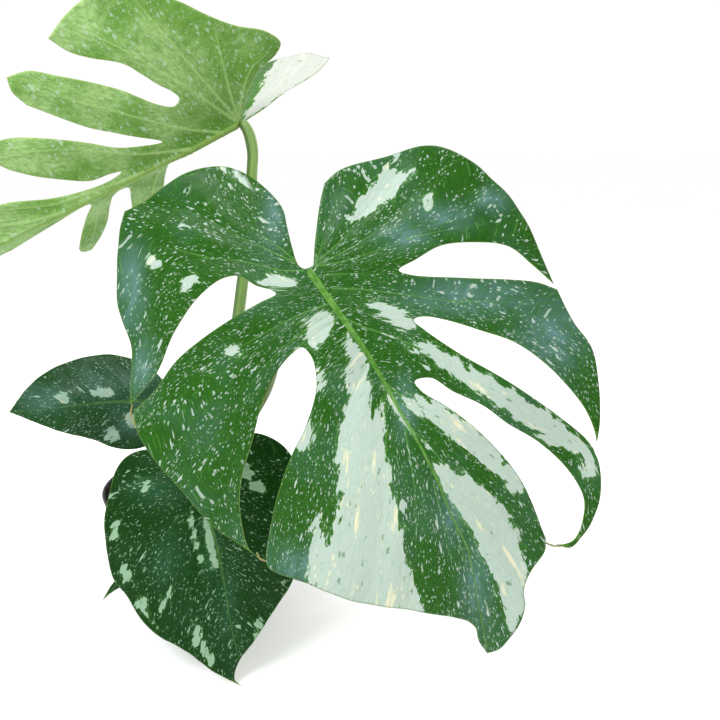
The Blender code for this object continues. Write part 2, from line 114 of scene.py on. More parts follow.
SMALL_LEAF = [
    [(-10, 5), (-20, 3), (-30, -5), (-36, -16), (-37, -30), (-34, -41), (-33, -48), (-40, -58),
     (-46, -69)],
    [(-39, -63), (-32, -59), (-21, -56), (-6, -48), (5, -34), (10, -18), (8, -4), (-2, 0)],
]
# The folded leaf's outline is along its midrib and across it: the near half above 0, the far half below.
FOLDED_LEAF = [
    [(-11, 15), (-21, 25), (-31, 32), (-47, 37), (-55, 44), (-49, 56), (-30, 70), (-14, 87), (-3, 101),
     (15, 117), (31, 126), (47, 128), (66, 124), (85, 115)],
    [(79, 102), (70, 93), (53, 80), (46, 68), (40, 56), (34, 47), (32, 40), (38, 36), (47, 42), (63, 62),
     (80, 79), (94, 91), (108, 102), (122, 104)],
    [(125, 94), (123, 82)],
    [(99, 50), (86, 38), (72, 25), (60, 14), (66, 15), (81, 22), (91, 28), (105, 40), (126, 55), (147, 67),
     (160, 70)],
    [(166, 60), (161, 47)],
    [(144, 29), (122, 12), (106, 10), (98, 8), (108, 6), (125, 7), (152, 14), (176, 25), (194, 30)],
    [(222, 20), (262, 0)],
    [(236, -16), (206, -22), (190, -20)],
    [(170, -14), (150, -8), (137, -7), (131, -12), (138, -30), (150, -55), (158, -78)],
    [(157, -88), (150, -94)],
    [(138, -80), (126, -55), (118, -30), (112, -12), (106, -7), (100, -12), (101, -35), (104, -60),
     (104, -80)],
    [(103, -98), (94, -110)],
    [(86, -92), (78, -65), (70, -35), (64, -14), (57, -9), (50, -14), (54, -50), (58, -90), (58, -118)],
    [(50, -134), (30, -138), (0, -128), (-30, -112), (-58, -88), (-74, -62), (-80, -45), (-70, -30),
     (-44, -18), (-20, -8), (2, 0)],
]

# How far each blade is pushed away from the eye, in mm, at a few of its points
LARGE_LEAF_BEND = [
    (0, 0, 0), (-60, 40, 8), (-113, 33, 26), (-60, -18, 4), (-109, -80, 36), (-106, -100, 30),
    (-60, -95, 8), (-32, -174, 24), (5, -120, 0), (10, -195, 16), (60, -130, -6), (80, -205, 14),
    (112, -238, 34), (140, -190, 24), (155, -168, 34), (110, -95, 4), (178, -140, 32), (120, -60, 2),
    (178, -95, 28), (70, -20, 0), (100, -2, 5), (156, -12, 24), (85, 35, 2), (70, 73, 14), (130, 35, 18),
    (12, 50, 8), (60, -70, 0),
]
HEART_LEAF_BEND = [
    (0, 0, 0), (-40, 10, 5), (-66, -30, 4), (-55, -85, 5), (-20, -60, -4), (10, -60, 0), (20, -110, -2),
    (36, -165, 6), (40, -60, -4), (84, -30, 10), (60, -105, 6), (50, 26, 8),
]
OVAL_LEAF_BEND = [
    (0, 0, 0), (-50, 0, -8), (-50, 40, 8), (-50, -40, 6), (-100, 5, -6), (-147, -10, 14), (-95, 32, 6),
]
SMALL_LEAF_BEND = [(0, 0, 0), (-20, -28, 2), (-36, -28, 10), (8, -26, 6), (-34, -52, 12), (-46, -69, 18)]
FOLDED_LEAF_BEND = [
    (0, 0, 0), (60, 60, -4), (50, 125, 8), (110, 90, 6), (-50, 45, 8), (160, 60, 10), (260, 0, 20),
    (120, 0, 2), (40, -70, -4), (50, -130, 8), (-75, -50, 8), (94, -105, 10), (150, -90, 10),
]

# The folded leaf's directions, as shares of right, up and away
FOLDED_MIDRIB = Vector((-0.86, -0.487, -0.15))
FOLDED_NEAR = Vector((-0.317, 0.56, -0.766))
FOLDED_FAR_RISING = Vector((-0.05, 0.62, 0.78))
FOLDED_FAR_HANGING = Vector((-0.12, -0.18, 0.97))
FOLD_CHANGE = (50, 72)  # mm along the midrib, where the far half turns from rising to hanging


def between(start, end, low, high, at):
    return start.lerp(end, (at - low) / (high - low))


def smooth_curve(points, step):
    """A centripetal Catmull-Rom curve through the points, with its points about step apart."""
    points = [Vector(point) for point in points]
    ends = [points[0] * 2 - points[1], *points, points[-1] * 2 - points[-2]]
    curve = []
    for p in zip(ends, ends[1:], ends[2:], ends[3:]):
        k = [0.0]
        for start, end in zip(p, p[1:]):
            k.append(k[-1] + math.sqrt(max((end - start).length, 1e-9)))
        count = max(1, round((p[2] - p[1]).length / step))
        for index in range(count):
            at = k[1] + (k[2] - k[1]) * index / count
            a = [between(p[i], p[i + 1], k[i], k[i + 1], at) for i in range(3)]
            b = [between(a[i], a[i + 1], k[i], k[i + 2], at) for i in range(2)]
            curve.append(between(b[0], b[1], k[1], k[2], at))
    curve.append(points[-1])
    return curve


def even_curve(points, step, fine=1.0):
    """A smooth curve through the points, with its points at equal distances close to step."""
    curve = smooth_curve(points, fine)
    lengths = np.cumsum([0.0] + [(b - a).length for a, b in zip(curve, curve[1:])])
    count = max(2, round(lengths[-1] / step))
    at = np.linspace(0, lengths[-1], count + 1)
    held = np.array(curve)
    return np.column_stack([np.interp(at, lengths, held[:, axis]) for axis in range(held.shape[1])])


def closed_outline(runs, step):
    """All of a blade's runs as one closed outline, anticlockwise."""
    whole = [[before[-1], *run] for before, run in zip(runs[-1:] + runs, runs)]
    outline = np.concatenate([even_curve(run, step)[:-1] for run in whole])
    x, y = outline.T
    clockwise = (x * np.roll(y, -1) - y * np.roll(x, -1)).sum() < 0
    return outline[::-1] if clockwise else outline


class Bend:
    """A smooth surface through a few known heights: a thin-plate spline."""

    def __init__(self, heights):
        heights = np.array(heights, float)
        self.centres = heights[:, :2]
        count = len(heights)
        system = np.zeros((count + 3, count + 3))
        system[:count, :count] = self.kernel(self.centres)
        system[:count, count:] = np.column_stack([np.ones(count), self.centres])
        system[count:, :count] = system[:count, count:].T
        self.weights = np.linalg.solve(system, np.concatenate([heights[:, 2], np.zeros(3)]))

    def kernel(self, at):
        distance = np.linalg.norm(at[:, None] - self.centres[None], axis=2)
        return distance**2 * np.log(np.maximum(distance, 1e-6))

    def __call__(self, at):
        return np.column_stack([self.kernel(at), np.ones(len(at)), at]) @ self.weights


def pushed_away(points, distances):
    """Points moved along their lines of sight, by distances measured straight away from the eye."""
    eye = np.array(EYE)
    reach = (points - eye) @ np.array(AWAY)
    return eye + (points - eye) * (1 + distances / reach)[:, None]


def facing_blade(joint, flat, bend):
    """Places flat blade points, in mm, on a plane that faces the eye, and bends it."""
    plane = np.array([RIGHT, UP]) * MM
    return pushed_away(np.array(joint) + flat @ plane, Bend(bend)(flat) * MM)


def eased(value, low, high):
    """A smooth step from 0, where the value is low, to 1, where it is high."""
    share = np.clip((value - low) / (high - low), 0, 1)
    return share * share * (3 - 2 * share)


def hump(distance, width):
    """1 where the distance is 0, falling smoothly to nearly 0 at twice the width."""
    return np.exp(-((distance / width) ** 2))


def folded_blade(joint, flat, bend):
    """Places the folded leaf, whose two halves slope differently from its midrib."""
    sight = np.array([RIGHT, UP, AWAY])
    ways = np.array([FOLDED_MIDRIB, FOLDED_NEAR, FOLDED_FAR_RISING, FOLDED_FAR_HANGING])
    midrib, near, rising, hanging = ways @ sight * MM
    share = eased(flat[:, 0], *FOLD_CHANGE)[:, None]
    far = rising * (1 - share) + hanging * share
    across = np.where(flat[:, 1:] > 0, near, far) * np.abs(flat[:, 1:])
    return pushed_away(np.array(joint) + flat[:, :1] * midrib + across, Bend(bend)(flat) * MM)


def point_normals(points, triangles):
    corners = points[triangles]
    facing = np.cross(corners[:, 1] - corners[:, 0], corners[:, 2] - corners[:, 0])
    normals = np.zeros_like(points)
    for corner in range(3):
        np.add.at(normals, triangles[:, corner], facing)
    return normals / np.linalg.norm(normals, axis=1, keepdims=True)


# Vein routes, in the same mm as the outlines
LARGE_MIDRIB = [(1, -2), (20, -29), (38, -55), (55, -85), (70, -111), (80, -131), (89, -153), (99, -174),
                (105, -204), (111, -236)]
LARGE_VEINS = [
    [(4, 2), (10, 20), (14, 45)],
    [(4, 3), (20, 17), (30, 29), (57, 62)],
    [(5, 2), (25, 12), (50, 30), (84, 66)],
    [(4, 1), (20, 4), (39, 10), (58, 17), (73, 25), (90, 35), (112, 55)],
    [(60, 18), (86, 24), (114, 30), (128, 34)],
    [(10, -4), (30, -3), (52, -1)],
    [(14, -12), (33, -13), (58, -16), (84, -20), (105, -25), (135, -42), (159, -57), (175, -88)],
    [(84, -20), (120, -21), (150, -24), (164, -36)],
    [(24, -31), (33, -36), (52, -42), (71, -51), (84, -60), (104, -76), (133, -96), (165, -118),
     (174, -150)],
    [(48, -71), (60, -81), (81, -99), (102, -120), (119, -138), (136, -164)],
    [(63, -98), (80, -116), (104, -147), (130, -188)],
    [(78, -126), (100, -163), (122, -210)],
    [(90, -156), (108, -190), (121, -226)],
    [(-2, 3), (-8, 16), (-13, 34)],
    [(-3, 2), (-9, 6), (-18, 13), (-33, 24), (-46, 36), (-58, 58)],
    [(-5, 2), (-20, 9), (-43, 20), (-75, 36), (-98, 40)],
    [(-3, -1), (-18, -1), (-39, 4), (-60, 6), (-82, 2), (-98, -14), (-107, -50)],
    [(-60, 6), (-84, 12), (-112, 14)],
    [(12, -22), (-2, -27), (-18, -35), (-39, -47), (-76, -68), (-100, -96)],
    [(15, -27), (-4, -40), (-24, -57), (-48, -88), (-70, -118)],
    [(18, -31), (0, -44), (-14, -56), (-32, -90), (-48, -130), (-46, -165)],
    [(36, -60), (28, -76), (19, -103), (15, -130), (8, -160), (0, -192)],
    [(45, -80), (48, -105), (46, -150), (38, -202)],
    [(60, -100), (66, -140), (66, -180), (62, -208)],
    [(78, -134), (86, -170), (90, -210)],
    [(92, -162), (99, -190), (102, -216)],
]
HEART_MIDRIB = [(2, -3), (5, -26), (13, -45), (22, -84), (28, -120), (35, -150), (37, -166)]
OVAL_MIDRIB = [(-3, 0), (-40, 0), (-80, -3), (-115, -8), (-145, -10)]
SMALL_MIDRIB = [(-2, -2), (-12, -20), (-24, -40), (-35, -56), (-45, -68)]
FOLDED_MIDRIB_LINE = [(2, 0), (90, 0), (180, 0), (258, 0)]
FOLDED_VEINS = [
    [(1, 3), (-10, 20), (-25, 36), (-44, 42)],
    [(1, 4), (-5, 35), (-16, 78)],
    [(2, 4), (13, 60), (24, 118)],
    [(4, 4), (22, 42), (46, 86), (66, 116)],
    [(18, 1), (40, 16), (74, 50), (118, 96)],
    [(45, 1), (75, 12), (112, 38), (156, 60)],
    [(84, 1), (118, 4), (155, 10), (186, 24)],
    [(150, 1), (180, 7), (205, 20)],
    [(195, 1), (215, 6), (232, 11)],
    [(2, -3), (-20, -14), (-50, -32), (-72, -56)],
    [(2, -4), (-14, -42), (-36, -94)],
    [(4, -4), (4, -60), (8, -124)],
    [(7, -3), (28, -50), (44, -122)],
    [(45, -1), (70, -9), (84, -45), (94, -98)],
    [(92, -1), (120, -10), (134, -44), (152, -86)],
    [(150, -1), (176, -6), (198, -17)],
    [(195, -1), (215, -6), (232, -10)],
]

# Where each pair of side veins leaves its midrib, as a share of its length, with its angle and reach in mm
HEART_FAN = [(0.0, 158, 42), (0.0, 128, 62), (0.01, 100, 80), (0.03, 76, 92), (0.12, 62, 92), (0.24, 55, 88),
             (0.36, 50, 82), (0.49, 45, 70), (0.62, 42, 55), (0.76, 38, 38), (0.88, 34, 22)]
OVAL_FAN = [(0.0, 112, 30), (0.0, 84, 44), (0.08, 66, 52), (0.2, 58, 52), (0.33, 52, 50), (0.46, 48, 46),
            (0.6, 42, 38), (0.74, 38, 28), (0.87, 34, 18)]
SMALL_FAN = [(0.0, 120, 22), (0.05, 80, 34), (0.2, 62, 34), (0.38, 54, 28), (0.56, 46, 20), (0.74, 40, 12)]

# Pale patches of the variegation, in the same mm
LARGE_PATCHES = [
    [(24, -40), (30, -48), (36, -57), (38, -76), (40, -92), (45, -83), (47, -99), (53, -143), (60, -172),
     (66, -200), (72, -213), (55, -214), (32, -210), (17, -203), (2, -198), (1, -167), (7, -151),
     (9, -171), (19, -156), (20, -138), (17, -114), (24, -84), (22, -64), (26, -58), (23, -51)],
    [(-2, -33), (4, -29), (12, -27), (16, -31), (14, -38), (11, -45), (4, -49), (-3, -40)],
    [(-27, -6), (-18, -6), (-8, -8), (-12, -12), (-22, -13), (-30, -11)],
    [(26, 29), (35, 48), (43, 55), (47, 62), (57, 60), (65, 61), (60, 53), (48, 39), (40, 35)],
    [(-56, 62), (-48, 61), (-38, 56), (-32, 48), (-39, 52), (-47, 56)],
    [(35, -22), (45, -22), (56, -25), (67, -33), (66, -38), (57, -36), (48, -31), (40, -26)],
    [(54, -43), (69, -46), (85, -52), (100, -61), (119, -72), (138, -84), (156, -95), (172, -108),
     (179, -125), (172, -128), (168, -116), (156, -110), (141, -102), (122, -89), (107, -78), (91, -67),
     (76, -56)],
    [(57, -78), (69, -80), (82, -83), (91, -89), (104, -99), (121, -118), (131, -139), (124, -136),
     (113, -125), (100, -114), (88, -104), (76, -94), (64, -87)],
    [(77, -119), (88, -124), (100, -131), (113, -142), (123, -153), (134, -181), (133, -206), (125, -224),
     (122, -213), (118, -200), (112, -184), (104, -169), (94, -153), (85, -138)],
    [(1, -94), (4, -97), (3, -107), (0, -113), (-5, -112), (-5, -105)],
    [(46, -72), (52, -79), (58, -91), (65, -102), (62, -100), (56, -92), (50, -82)],
    [(-101, 5), (-98, 9), (-92, 4), (-95, 0)],
    [(-79, -7), (-70, -2), (-68, -7), (-76, -14)],
    [(-51, -51), (-41, -49), (-44, -55), (-50, -57)],
    [(70, 42), (76, 45), (79, 40), (73, 36)],
    [(6, -60), (9, -64), (8, -76), (4, -70)],
]
HEART_PATCHES = [
    [(-4, -38), (-2, -34), (2, -50), (6, -70), (3, -68), (-1, -54)],
    [(6, -36), (9, -36), (14, -56), (18, -76), (15, -74), (10, -56)],
    [(-56, -74), (-51, -72), (-50, -84), (-54, -82)],
    [(-44, -104), (-38, -98), (-35, -108), (-28, -120), (-33, -119), (-39, -111)],
    [(-21, -93), (-18, -90), (-21, -104), (-26, -113), (-26, -103)],
    [(-1, -118), (3, -115), (5, -131), (1, -135), (-1, -127)],
    [(5, -131), (8, -132), (16, -148), (13, -151), (7, -142)],
    [(-40, -8), (-34, -6), (-35, -17), (-39, -18)],
    [(35, 2), (42, 4), (46, -6), (52, -10), (50, -18), (42, -12), (38, -6)],
    [(46, -117), (50, -115), (50, -129), (46, -131)],
    [(-62, -40), (-58, -38), (-60, -50), (-63, -52)],
]
OVAL_PATCHES = [
    [(-72, 10), (-58, 12), (-50, 8), (-60, 4), (-70, 5)],
    [(-40, -14), (-30, -12), (-26, -20), (-36, -22)],
    [(-104, 4), (-94, 8), (-90, 1), (-100, -2)],
    [(-58, -28), (-46, -26), (-48, -34), (-58, -34)],
]
FOLDED_PATCHES = [
    [(0, -5), (-20, -10), (-44, -18), (-70, -30), (-82, -45), (-76, -62), (-58, -90), (-32, -112),
     (-20, -92), (-12, -46), (-5, -24)],
    [(10, -20), (30, -34), (46, -60), (50, -100), (46, -124), (24, -130), (0, -124), (8, -80)],
]

# Where a bluish sheen is painted on a leaf's top, and shade on its back: (right, up, half width, half
# height) in the same mm
LARGE_SHEEN = [
    (105, -18, 42, 11), (148, -44, 20, 24), (-22, 34, 6, 18), (-109, -16, 8, 26), (-101, -62, 7, 18),
    (90, -150, 8, 22), (104, -196, 9, 26), (-6, -184, 16, 11), (60, -86, 6, 16), (58, 20, 15, 7),
    (86, 32, 16, 8), (112, 42, 9, 7),
]
HEART_SHEEN = [(12, -58, 7, 26), (26, -108, 8, 30), (-30, -14, 20, 9), (-20, -70, 12, 20)]
OVAL_SHEEN = [(-60, 14, 30, 14), (-110, 2, 24, 12), (-30, -20, 16, 10)]

# Painted light on the folded leaf, in the same form: shade painted on its back, and light painted on its top
# where it is lit through
FOLDED_LIGHT_AND_SHADE = [(0, 14, 36, 30), (-48, 46, 16, 26), (40, 4, 60, 10), (-5, -18, 8, 10),
                (-13, -40, 12, 14), (-22, -66, 14, 18)]

# Thin threads of dried leaf edge that hang at the mouths of the large leaf's slits
LARGE_THREADS = [
    [(-109, -84), (-110, -91), (-106, -100)],
    [(-32, -176), (-30, -180), (-24, -182)],
    [(145, -169), (152, -172), (161, -172)],
]

VEIN_STEP = 2.0  # mm between a vein's own points
MIDRIB_ROWS = (0, -1.1, 1.1, -2.3, 2.3)  # mm beside the midrib's middle
VEIN_ROWS = (0, -0.9, 0.9)  # mm beside a side vein's middle
ROW_CLEARANCE = 0.6  # mm between the points of neighbouring rows
EDGE_SPACING = 1.0  # mm between points along a blade's edge
RIB_REACH = 12.0  # mm, how close to the midrib a vein starts if the flecks are to follow it
PAST_EDGE = 80.0  # mm added to the end of a vein that the flecks follow
BLEND_WIDTH = 4.0  # mm over which neighbouring veins' coordinates blend
PATCH_REACH = 14.0  # mm, the farthest that a patch is felt outside its edge
FAN_PARTS = 6  # straight parts in the route of a fan's vein
FAN_CURL = 5.5  # degrees that each part turns towards the blade's tip

# The blade's relief, in mm: how high or deep each form is, and how far from the vein it spreads
QUILT_WIDTH = 8.0
VALLEY_DEPTH, VALLEY_WIDTH = 1.6, 9.0
MIDRIB_GROOVE, MIDRIB_GROOVE_WIDTH = 0.45, 1.3
VEIN_GROOVE, VEIN_GROOVE_WIDTH = 0.3, 0.8
MIDRIB_HEIGHT, MIDRIB_WIDTH = 2.3, 2.6
TIP_HEIGHT, TIP_WIDTH = 0.5, 1.0
VEIN_HEIGHT, VEIN_WIDTH = 0.8, 0.9
VEIN_GROOVE_FADE, VEIN_FADE = 0.6, 0.75  # how much of a vein's groove and height is lost by its end
EDGE_TAPER = 2.5  # from the edge to the blade's full thickness
EDGE_FADE = 3.0  # from the edge to the full height of grooves and ribs

# The pale bands that the skins paint on the midrib and the veins, in mm
MIDRIB_BAND_TIP, MIDRIB_BAND_SPREAD = 0.35, 1.9  # half its width at the tip, and what its base has more
VEIN_BAND_LOSS = 1.1  # how much narrower a vein's band is at the vein's end

GROWN_IN = 12 * MM  # how far below its base a stalk comes out of the stem
GROWN_SHARE = 0.35  # the share of the stem's radius that a stalk's end is inside it
FIRST_RISE = 14 * MM  # how far a stalk rises straight up beside the stem
STALK_END = 2.2 * MM  # from a blade's middle to the blunt end of its stalk, inside the rib


class Spread:
    """Flat points that keep clear of each other."""

    CELL = 2.5

    def __init__(self, points):
        self.points = []
        self.cells = {}
        for point in points:
            self.keep((float(point[0]), float(point[1])))

    def keep(self, at):
        self.points.append(at)
        cell = math.floor(at[0] / self.CELL), math.floor(at[1] / self.CELL)
        self.cells.setdefault(cell, []).append(at)

    def add(self, x, y, clearance):
        """Keeps the point if no other is within its clearance."""
        column, row = math.floor(x / self.CELL), math.floor(y / self.CELL)
        for beside_x in (column - 1, column, column + 1):
            for beside_y in (row - 1, row, row + 1):
                for other_x, other_y in self.cells.get((beside_x, beside_y), ()):
                    if math.hypot(other_x - x, other_y - y) < clearance:
                        return
        self.keep((x, y))


def beside(points, line):
    """Each point's distance from a line, its distance along it, and across it with the left side above 0."""
    steps = np.diff(line, axis=0)
    lengths = np.linalg.norm(steps, axis=1)
    passed = np.concatenate([[0.0], np.cumsum(lengths)[:-1]])
    offset = points[:, None] - line[None, :-1]
    share = (offset * steps).sum(axis=2) / lengths**2
    gaps = np.linalg.norm(offset - np.clip(share, 0, 1)[..., None] * steps, axis=2)
    nearest = gaps.argmin(axis=1)
    each = np.arange(len(points))
    distance, share, offset = gaps[each, nearest], share[each, nearest], offset[each, nearest]
    low = np.where(nearest == 0, -np.inf, 0)
    high = np.where(nearest == len(steps) - 1, np.inf, 1)
    along = passed[nearest] + np.clip(share, low, high) * lengths[nearest]
    step = steps[nearest]
    across = (step[:, 0] * offset[:, 1] - step[:, 1] * offset[:, 0]) / lengths[nearest]
    beyond = (share < low + 1e-9) | (share > 1)
    return distance, along, np.where(beyond, across, np.sign(across) * distance)


def inside(points, line):
    """Which points are inside a closed line."""
    x, y = points[:, :1], points[:, 1:]
    (x0, y0), (x1, y1) = line[:-1].T, line[1:].T
    crosses = (y0 > y) != (y1 > y)
    reach = (x1 - x0) * (y - y0) / np.where(y1 == y0, 1e-9, y1 - y0) + x0
    return (crosses & (x < reach)).sum(axis=1) % 2 == 1


def patch_depth(points, patches):
    """How far inside the nearest patch each point is, in mm, and below 0 outside them all."""
    depth = np.full(len(points), -PATCH_REACH)
    for patch in patches:
        line = even_curve([*patch, patch[0]], VEIN_STEP)
        distance = beside(points, line)[0]
        depth = np.maximum(depth, np.where(inside(points, line), distance, -distance))
    return depth


def painted_light_share(points, spots):
    """How strong the painted light is at each point, 0 to 1: sheen and light on a leaf's top, shade on its
    back.
    """
    share = np.zeros(len(points))
    for right, up, half_width, half_height in spots:
        spot = hump(points[:, 0] - right, half_width) * hump(points[:, 1] - up, half_height)
        share = np.maximum(share, spot)
    return share


def vein_flow(points, midrib, veins):
    """Smooth coordinates across and along the veins, in mm. Each side of the midrib has its own."""
    flow = np.zeros((len(points), 2))
    side = beside(points, midrib)[2] > 0
    root = midrib[0]
    for half in (True, False):
        own = [vein for vein in veins if (beside(vein[len(vein) // 2][None], midrib)[2][0] > 0) == half]
        own = [run_on(vein) for vein in own if beside(vein[:1], midrib)[0][0] < RIB_REACH]
        heading = midrib[-1] - root
        own.sort(key=lambda vein: turned_from(heading, vein[len(vein) // 2] - root))
        near = points[side == half]
        across_sum, along_sum, weights = 0, 0, 0
        across_start, along_start = 0.0, 0.0
        for vein, after in zip(own, own[1:] + own[-1:]):
            distance, along, across = beside(near, vein)
            weight = 1 / (distance + BLEND_WIDTH) ** 3
            across_sum = across_sum + weight * (across + across_start)
            along_sum = along_sum + weight * (along + along_start)
            weights = weights + weight
            middle = after[len(after) // 2][None]
            _, seen_along, seen_across = beside(middle, vein)
            along_start += seen_along[0] - beside(middle, after)[1][0]
            across_start += seen_across[0]
        flow[side == half] = np.column_stack([across_sum / weights, along_sum / weights])
    return flow


def run_on(vein):
    """The vein with a straight stretch added, so that it passes the blade's edge."""
    way = vein[-1] - vein[-4]
    return np.concatenate([vein, [vein[-1] + way / np.linalg.norm(way) * PAST_EDGE]])


def turned_from(heading, way):
    """The angle from a heading to a way, from -pi to pi."""
    return math.atan2(heading[0] * way[1] - heading[1] * way[0], float(np.dot(heading, way)))


def fan_veins(midrib, fan):
    """Pairs of side veins that leave the midrib and curve towards its tip."""
    veins = []
    line = even_curve(midrib, 1.0)
    for share, angle, reach in fan:
        index = min(int(share * len(line)), len(line) - 2)
        heading = math.atan2(*(line[index + 1] - line[index])[::-1])
        for side in (1, -1):
            at = line[index]
            route = [tuple(at)]
            for part in range(FAN_PARTS):
                turn = math.radians(angle - FAN_CURL * part) * side
                at = at + np.array([math.cos(heading + turn), math.sin(heading + turn)]) * reach / FAN_PARTS
                route.append(tuple(at))
            veins.append(route)
    return veins


def blade_points(outline, midrib, veins, spacing):
    """The flat blade's points and triangles, with rows of points beside its veins."""
    spread = Spread(outline)
    for vein, rows in [(midrib, MIDRIB_ROWS)] + [(vein, VEIN_ROWS) for vein in veins]:
        along = np.gradient(vein, axis=0)
        across = np.column_stack([-along[:, 1], along[:, 0]]) / np.linalg.norm(along, axis=1, keepdims=True)
        for row in rows:
            for x, y in vein + across * row:
                spread.add(x, y, ROW_CLEARANCE)
    low, high = outline.min(axis=0), outline.max(axis=0)
    for row, y in enumerate(np.arange(low[1], high[1], spacing * 0.87)):
        for x in np.arange(low[0], high[0], spacing):
            spread.add(x + spacing / 2 * (row % 2), y, spacing * 0.62)
    around = list(range(len(outline)))
    made = delaunay_2d_cdt([Vector(point) for point in spread.points], [], [around], 1, 1e-6)
    used, triangles = np.unique(np.array(made[2]), return_inverse=True)
    return np.array(made[0])[used], triangles.reshape(-1, 3)


def distance_from_edge(points, outline):
    tree = KDTree(len(outline))
    for index, (x, y) in enumerate(outline):
        tree.insert((x, y, 0), index)
    tree.balance()
    return np.array([tree.find((x, y, 0))[2] for x, y in points])


def ripple(flat, edge):
    """Gentle waves of the whole blade, in mm, which grow a little towards its edge."""
    x, y = flat.T
    waves = 0.5 * np.sin(x / 9 + 0.7 * np.sin(y / 15)) + 0.5 * np.sin(y / 8 + 0.9 * np.sin(x / 13 + 1))
    return waves * (0.45 + 0.8 * np.exp(-edge / 9))


def set_attribute(mesh, name, values):
    kind = "FLOAT" if values.ndim == 1 else "FLOAT_VECTOR"
    attribute = mesh.attributes.new(name, kind, "POINT")
    attribute.data.foreach_set("value" if values.ndim == 1 else "vector", values.astype(np.float32).ravel())


def add_object(name, data):
    made = bpy.data.objects.new(name, data)
    bpy.context.scene.collection.objects.link(made)
    return made


def add_piece(name, mesh, materials, node):
    """A smooth-shaded piece that rides on the object's one body. It replaces a node, if one is given."""
    for material in materials:
        mesh.materials.append(material)
    mesh.shade_smooth()
    piece = add_object(name, mesh)
    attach(piece, "root")
    if node:
        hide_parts(node)
    return piece


def new_piece(name, points, faces, materials, node, shares=None):
    """A piece from points and faces. shares gives each face's material, where there are two."""
    mesh = bpy.data.meshes.new(name)
    mesh.from_pydata([tuple(point) for point in points], [], [tuple(face) for face in faces])
    if shares is not None:
        mesh.polygons.foreach_set("material_index", shares)
    return add_piece(name, mesh, materials, node)


def tube_faces(rings, sides):
    """The faces of a tube with flat ends, whose points come ring by ring."""
    faces = [tuple(reversed(range(sides)))]
    for ring in range(rings - 1):
        low, high = ring * sides, (ring + 1) * sides
        for side in range(sides):
            after = (side + 1) % sides
            faces.append((low + side, low + after, high + after, high + side))
    faces.append(tuple(range((rings - 1) * sides, rings * sides)))
    return faces


def make_blade(name, joint, place, design, spacing, pillow, skins, node):
    """A leaf blade: quilted between its veins, grooved above them, ribbed below, and thin at its edge.

    spacing is the mm between its points, and pillow is how high it rises between its veins, in mm.
    """
    runs, bend, midrib, veins, patches, painted_light = design
    outline = closed_outline(runs, EDGE_SPACING)
    midrib = even_curve(midrib, VEIN_STEP)
    veins = [even_curve(vein, VEIN_STEP) for vein in veins]
    closed = np.concatenate([outline, outline[:1]])
    veins = [vein[inside(vein, closed)] for vein in veins]
    veins = [vein for vein in veins if len(vein) > 3]
    flat, triangles = blade_points(outline, midrib, veins, spacing)
    count, rim = len(flat), len(outline)

    edge = distance_from_edge(flat, outline)
    beside_midrib, along_midrib, _ = beside(flat, midrib)
    gone = np.clip(along_midrib / (len(midrib) * VEIN_STEP), 0, 1)
    beside_vein = np.full(count, 99.0)
    along_vein = np.zeros(count)
    for vein in veins:
        distance, along, _ = beside(flat, vein)
        share = np.clip(along / (len(vein) * VEIN_STEP), 0, 1)
        along_vein = np.where(distance < beside_vein, share, along_vein)
        beside_vein = np.minimum(beside_vein, distance)
    nearest = np.minimum(beside_vein, beside_midrib)

    middle = place(joint, flat, bend)
    normals = point_normals(middle, triangles)
    quilt = pillow * (1 - hump(nearest, QUILT_WIDTH)) - VALLEY_DEPTH * hump(beside_midrib, VALLEY_WIDTH)
    middle = middle + normals * ((quilt + ripple(flat, edge)) * MM)[:, None]
    normals = point_normals(middle, triangles)
    thickness = EDGE_THICKNESS + (BLADE_THICKNESS - EDGE_THICKNESS) * eased(edge, 0, EDGE_TAPER)
    fade = eased(edge, 0, EDGE_FADE)
    groove = MIDRIB_GROOVE * hump(beside_midrib, MIDRIB_GROOVE_WIDTH)
    vein_groove = VEIN_GROOVE * (1 - VEIN_GROOVE_FADE * along_vein)
    groove = groove + vein_groove * hump(beside_vein, VEIN_GROOVE_WIDTH)
    rib_height = MIDRIB_HEIGHT + (TIP_HEIGHT - MIDRIB_HEIGHT) * gone
    rib = rib_height * hump(beside_midrib, MIDRIB_WIDTH + (TIP_WIDTH - MIDRIB_WIDTH) * gone)
    rib = rib + VEIN_HEIGHT * (1 - VEIN_FADE * along_vein) * hump(beside_vein, VEIN_WIDTH)
    top = middle + normals * ((thickness / 2 - groove * fade) * MM)[:, None]
    bottom = middle - normals * ((thickness / 2 + rib * fade) * MM)[:, None]

    faces = [tuple(face) for face in triangles]
    faces += [tuple(int(index) + count for index in face[::-1]) for face in triangles]
    for start in range(rim):
        end = (start + 1) % rim
        faces.append((end, start, start + count, end + count))
    shares = np.ones(len(faces), np.int32)
    shares[:len(triangles)] = 0
    piece = new_piece(name, np.concatenate([top, bottom]), faces, skins, node, shares)
    flow = vein_flow(flat, midrib, veins)
    zeros = np.zeros(count)
    both = {
        "white": patch_depth(flat, patches),
        "vein": beside_vein + VEIN_BAND_LOSS * along_vein,
        "midrib": beside_midrib - (MIDRIB_BAND_TIP + MIDRIB_BAND_SPREAD * (1 - gone) ** 2),
        "edge": edge,
        # The painted light's spots: painted sheen or light on a leaf's top, painted shade on its back
        "painted_light": painted_light_share(flat, painted_light),
        "flow": np.column_stack([flow, zeros]),
        "flat": np.column_stack([flat, zeros]),
    }
    for attribute, values in both.items():
        set_attribute(piece.data, attribute, np.concatenate([values, values]))


def rings(route, step):
    """Points along a smooth route, with the way along it at each, square to the route's ends."""
    centres = even_curve(route, step, 1 * MM)
    along = np.gradient(centres, axis=0)
    along[0] = np.array(route[1] - route[0])
    along[-1] = np.array(route[-1] - route[-2])
    return centres, along / np.linalg.norm(along, axis=1, keepdims=True)


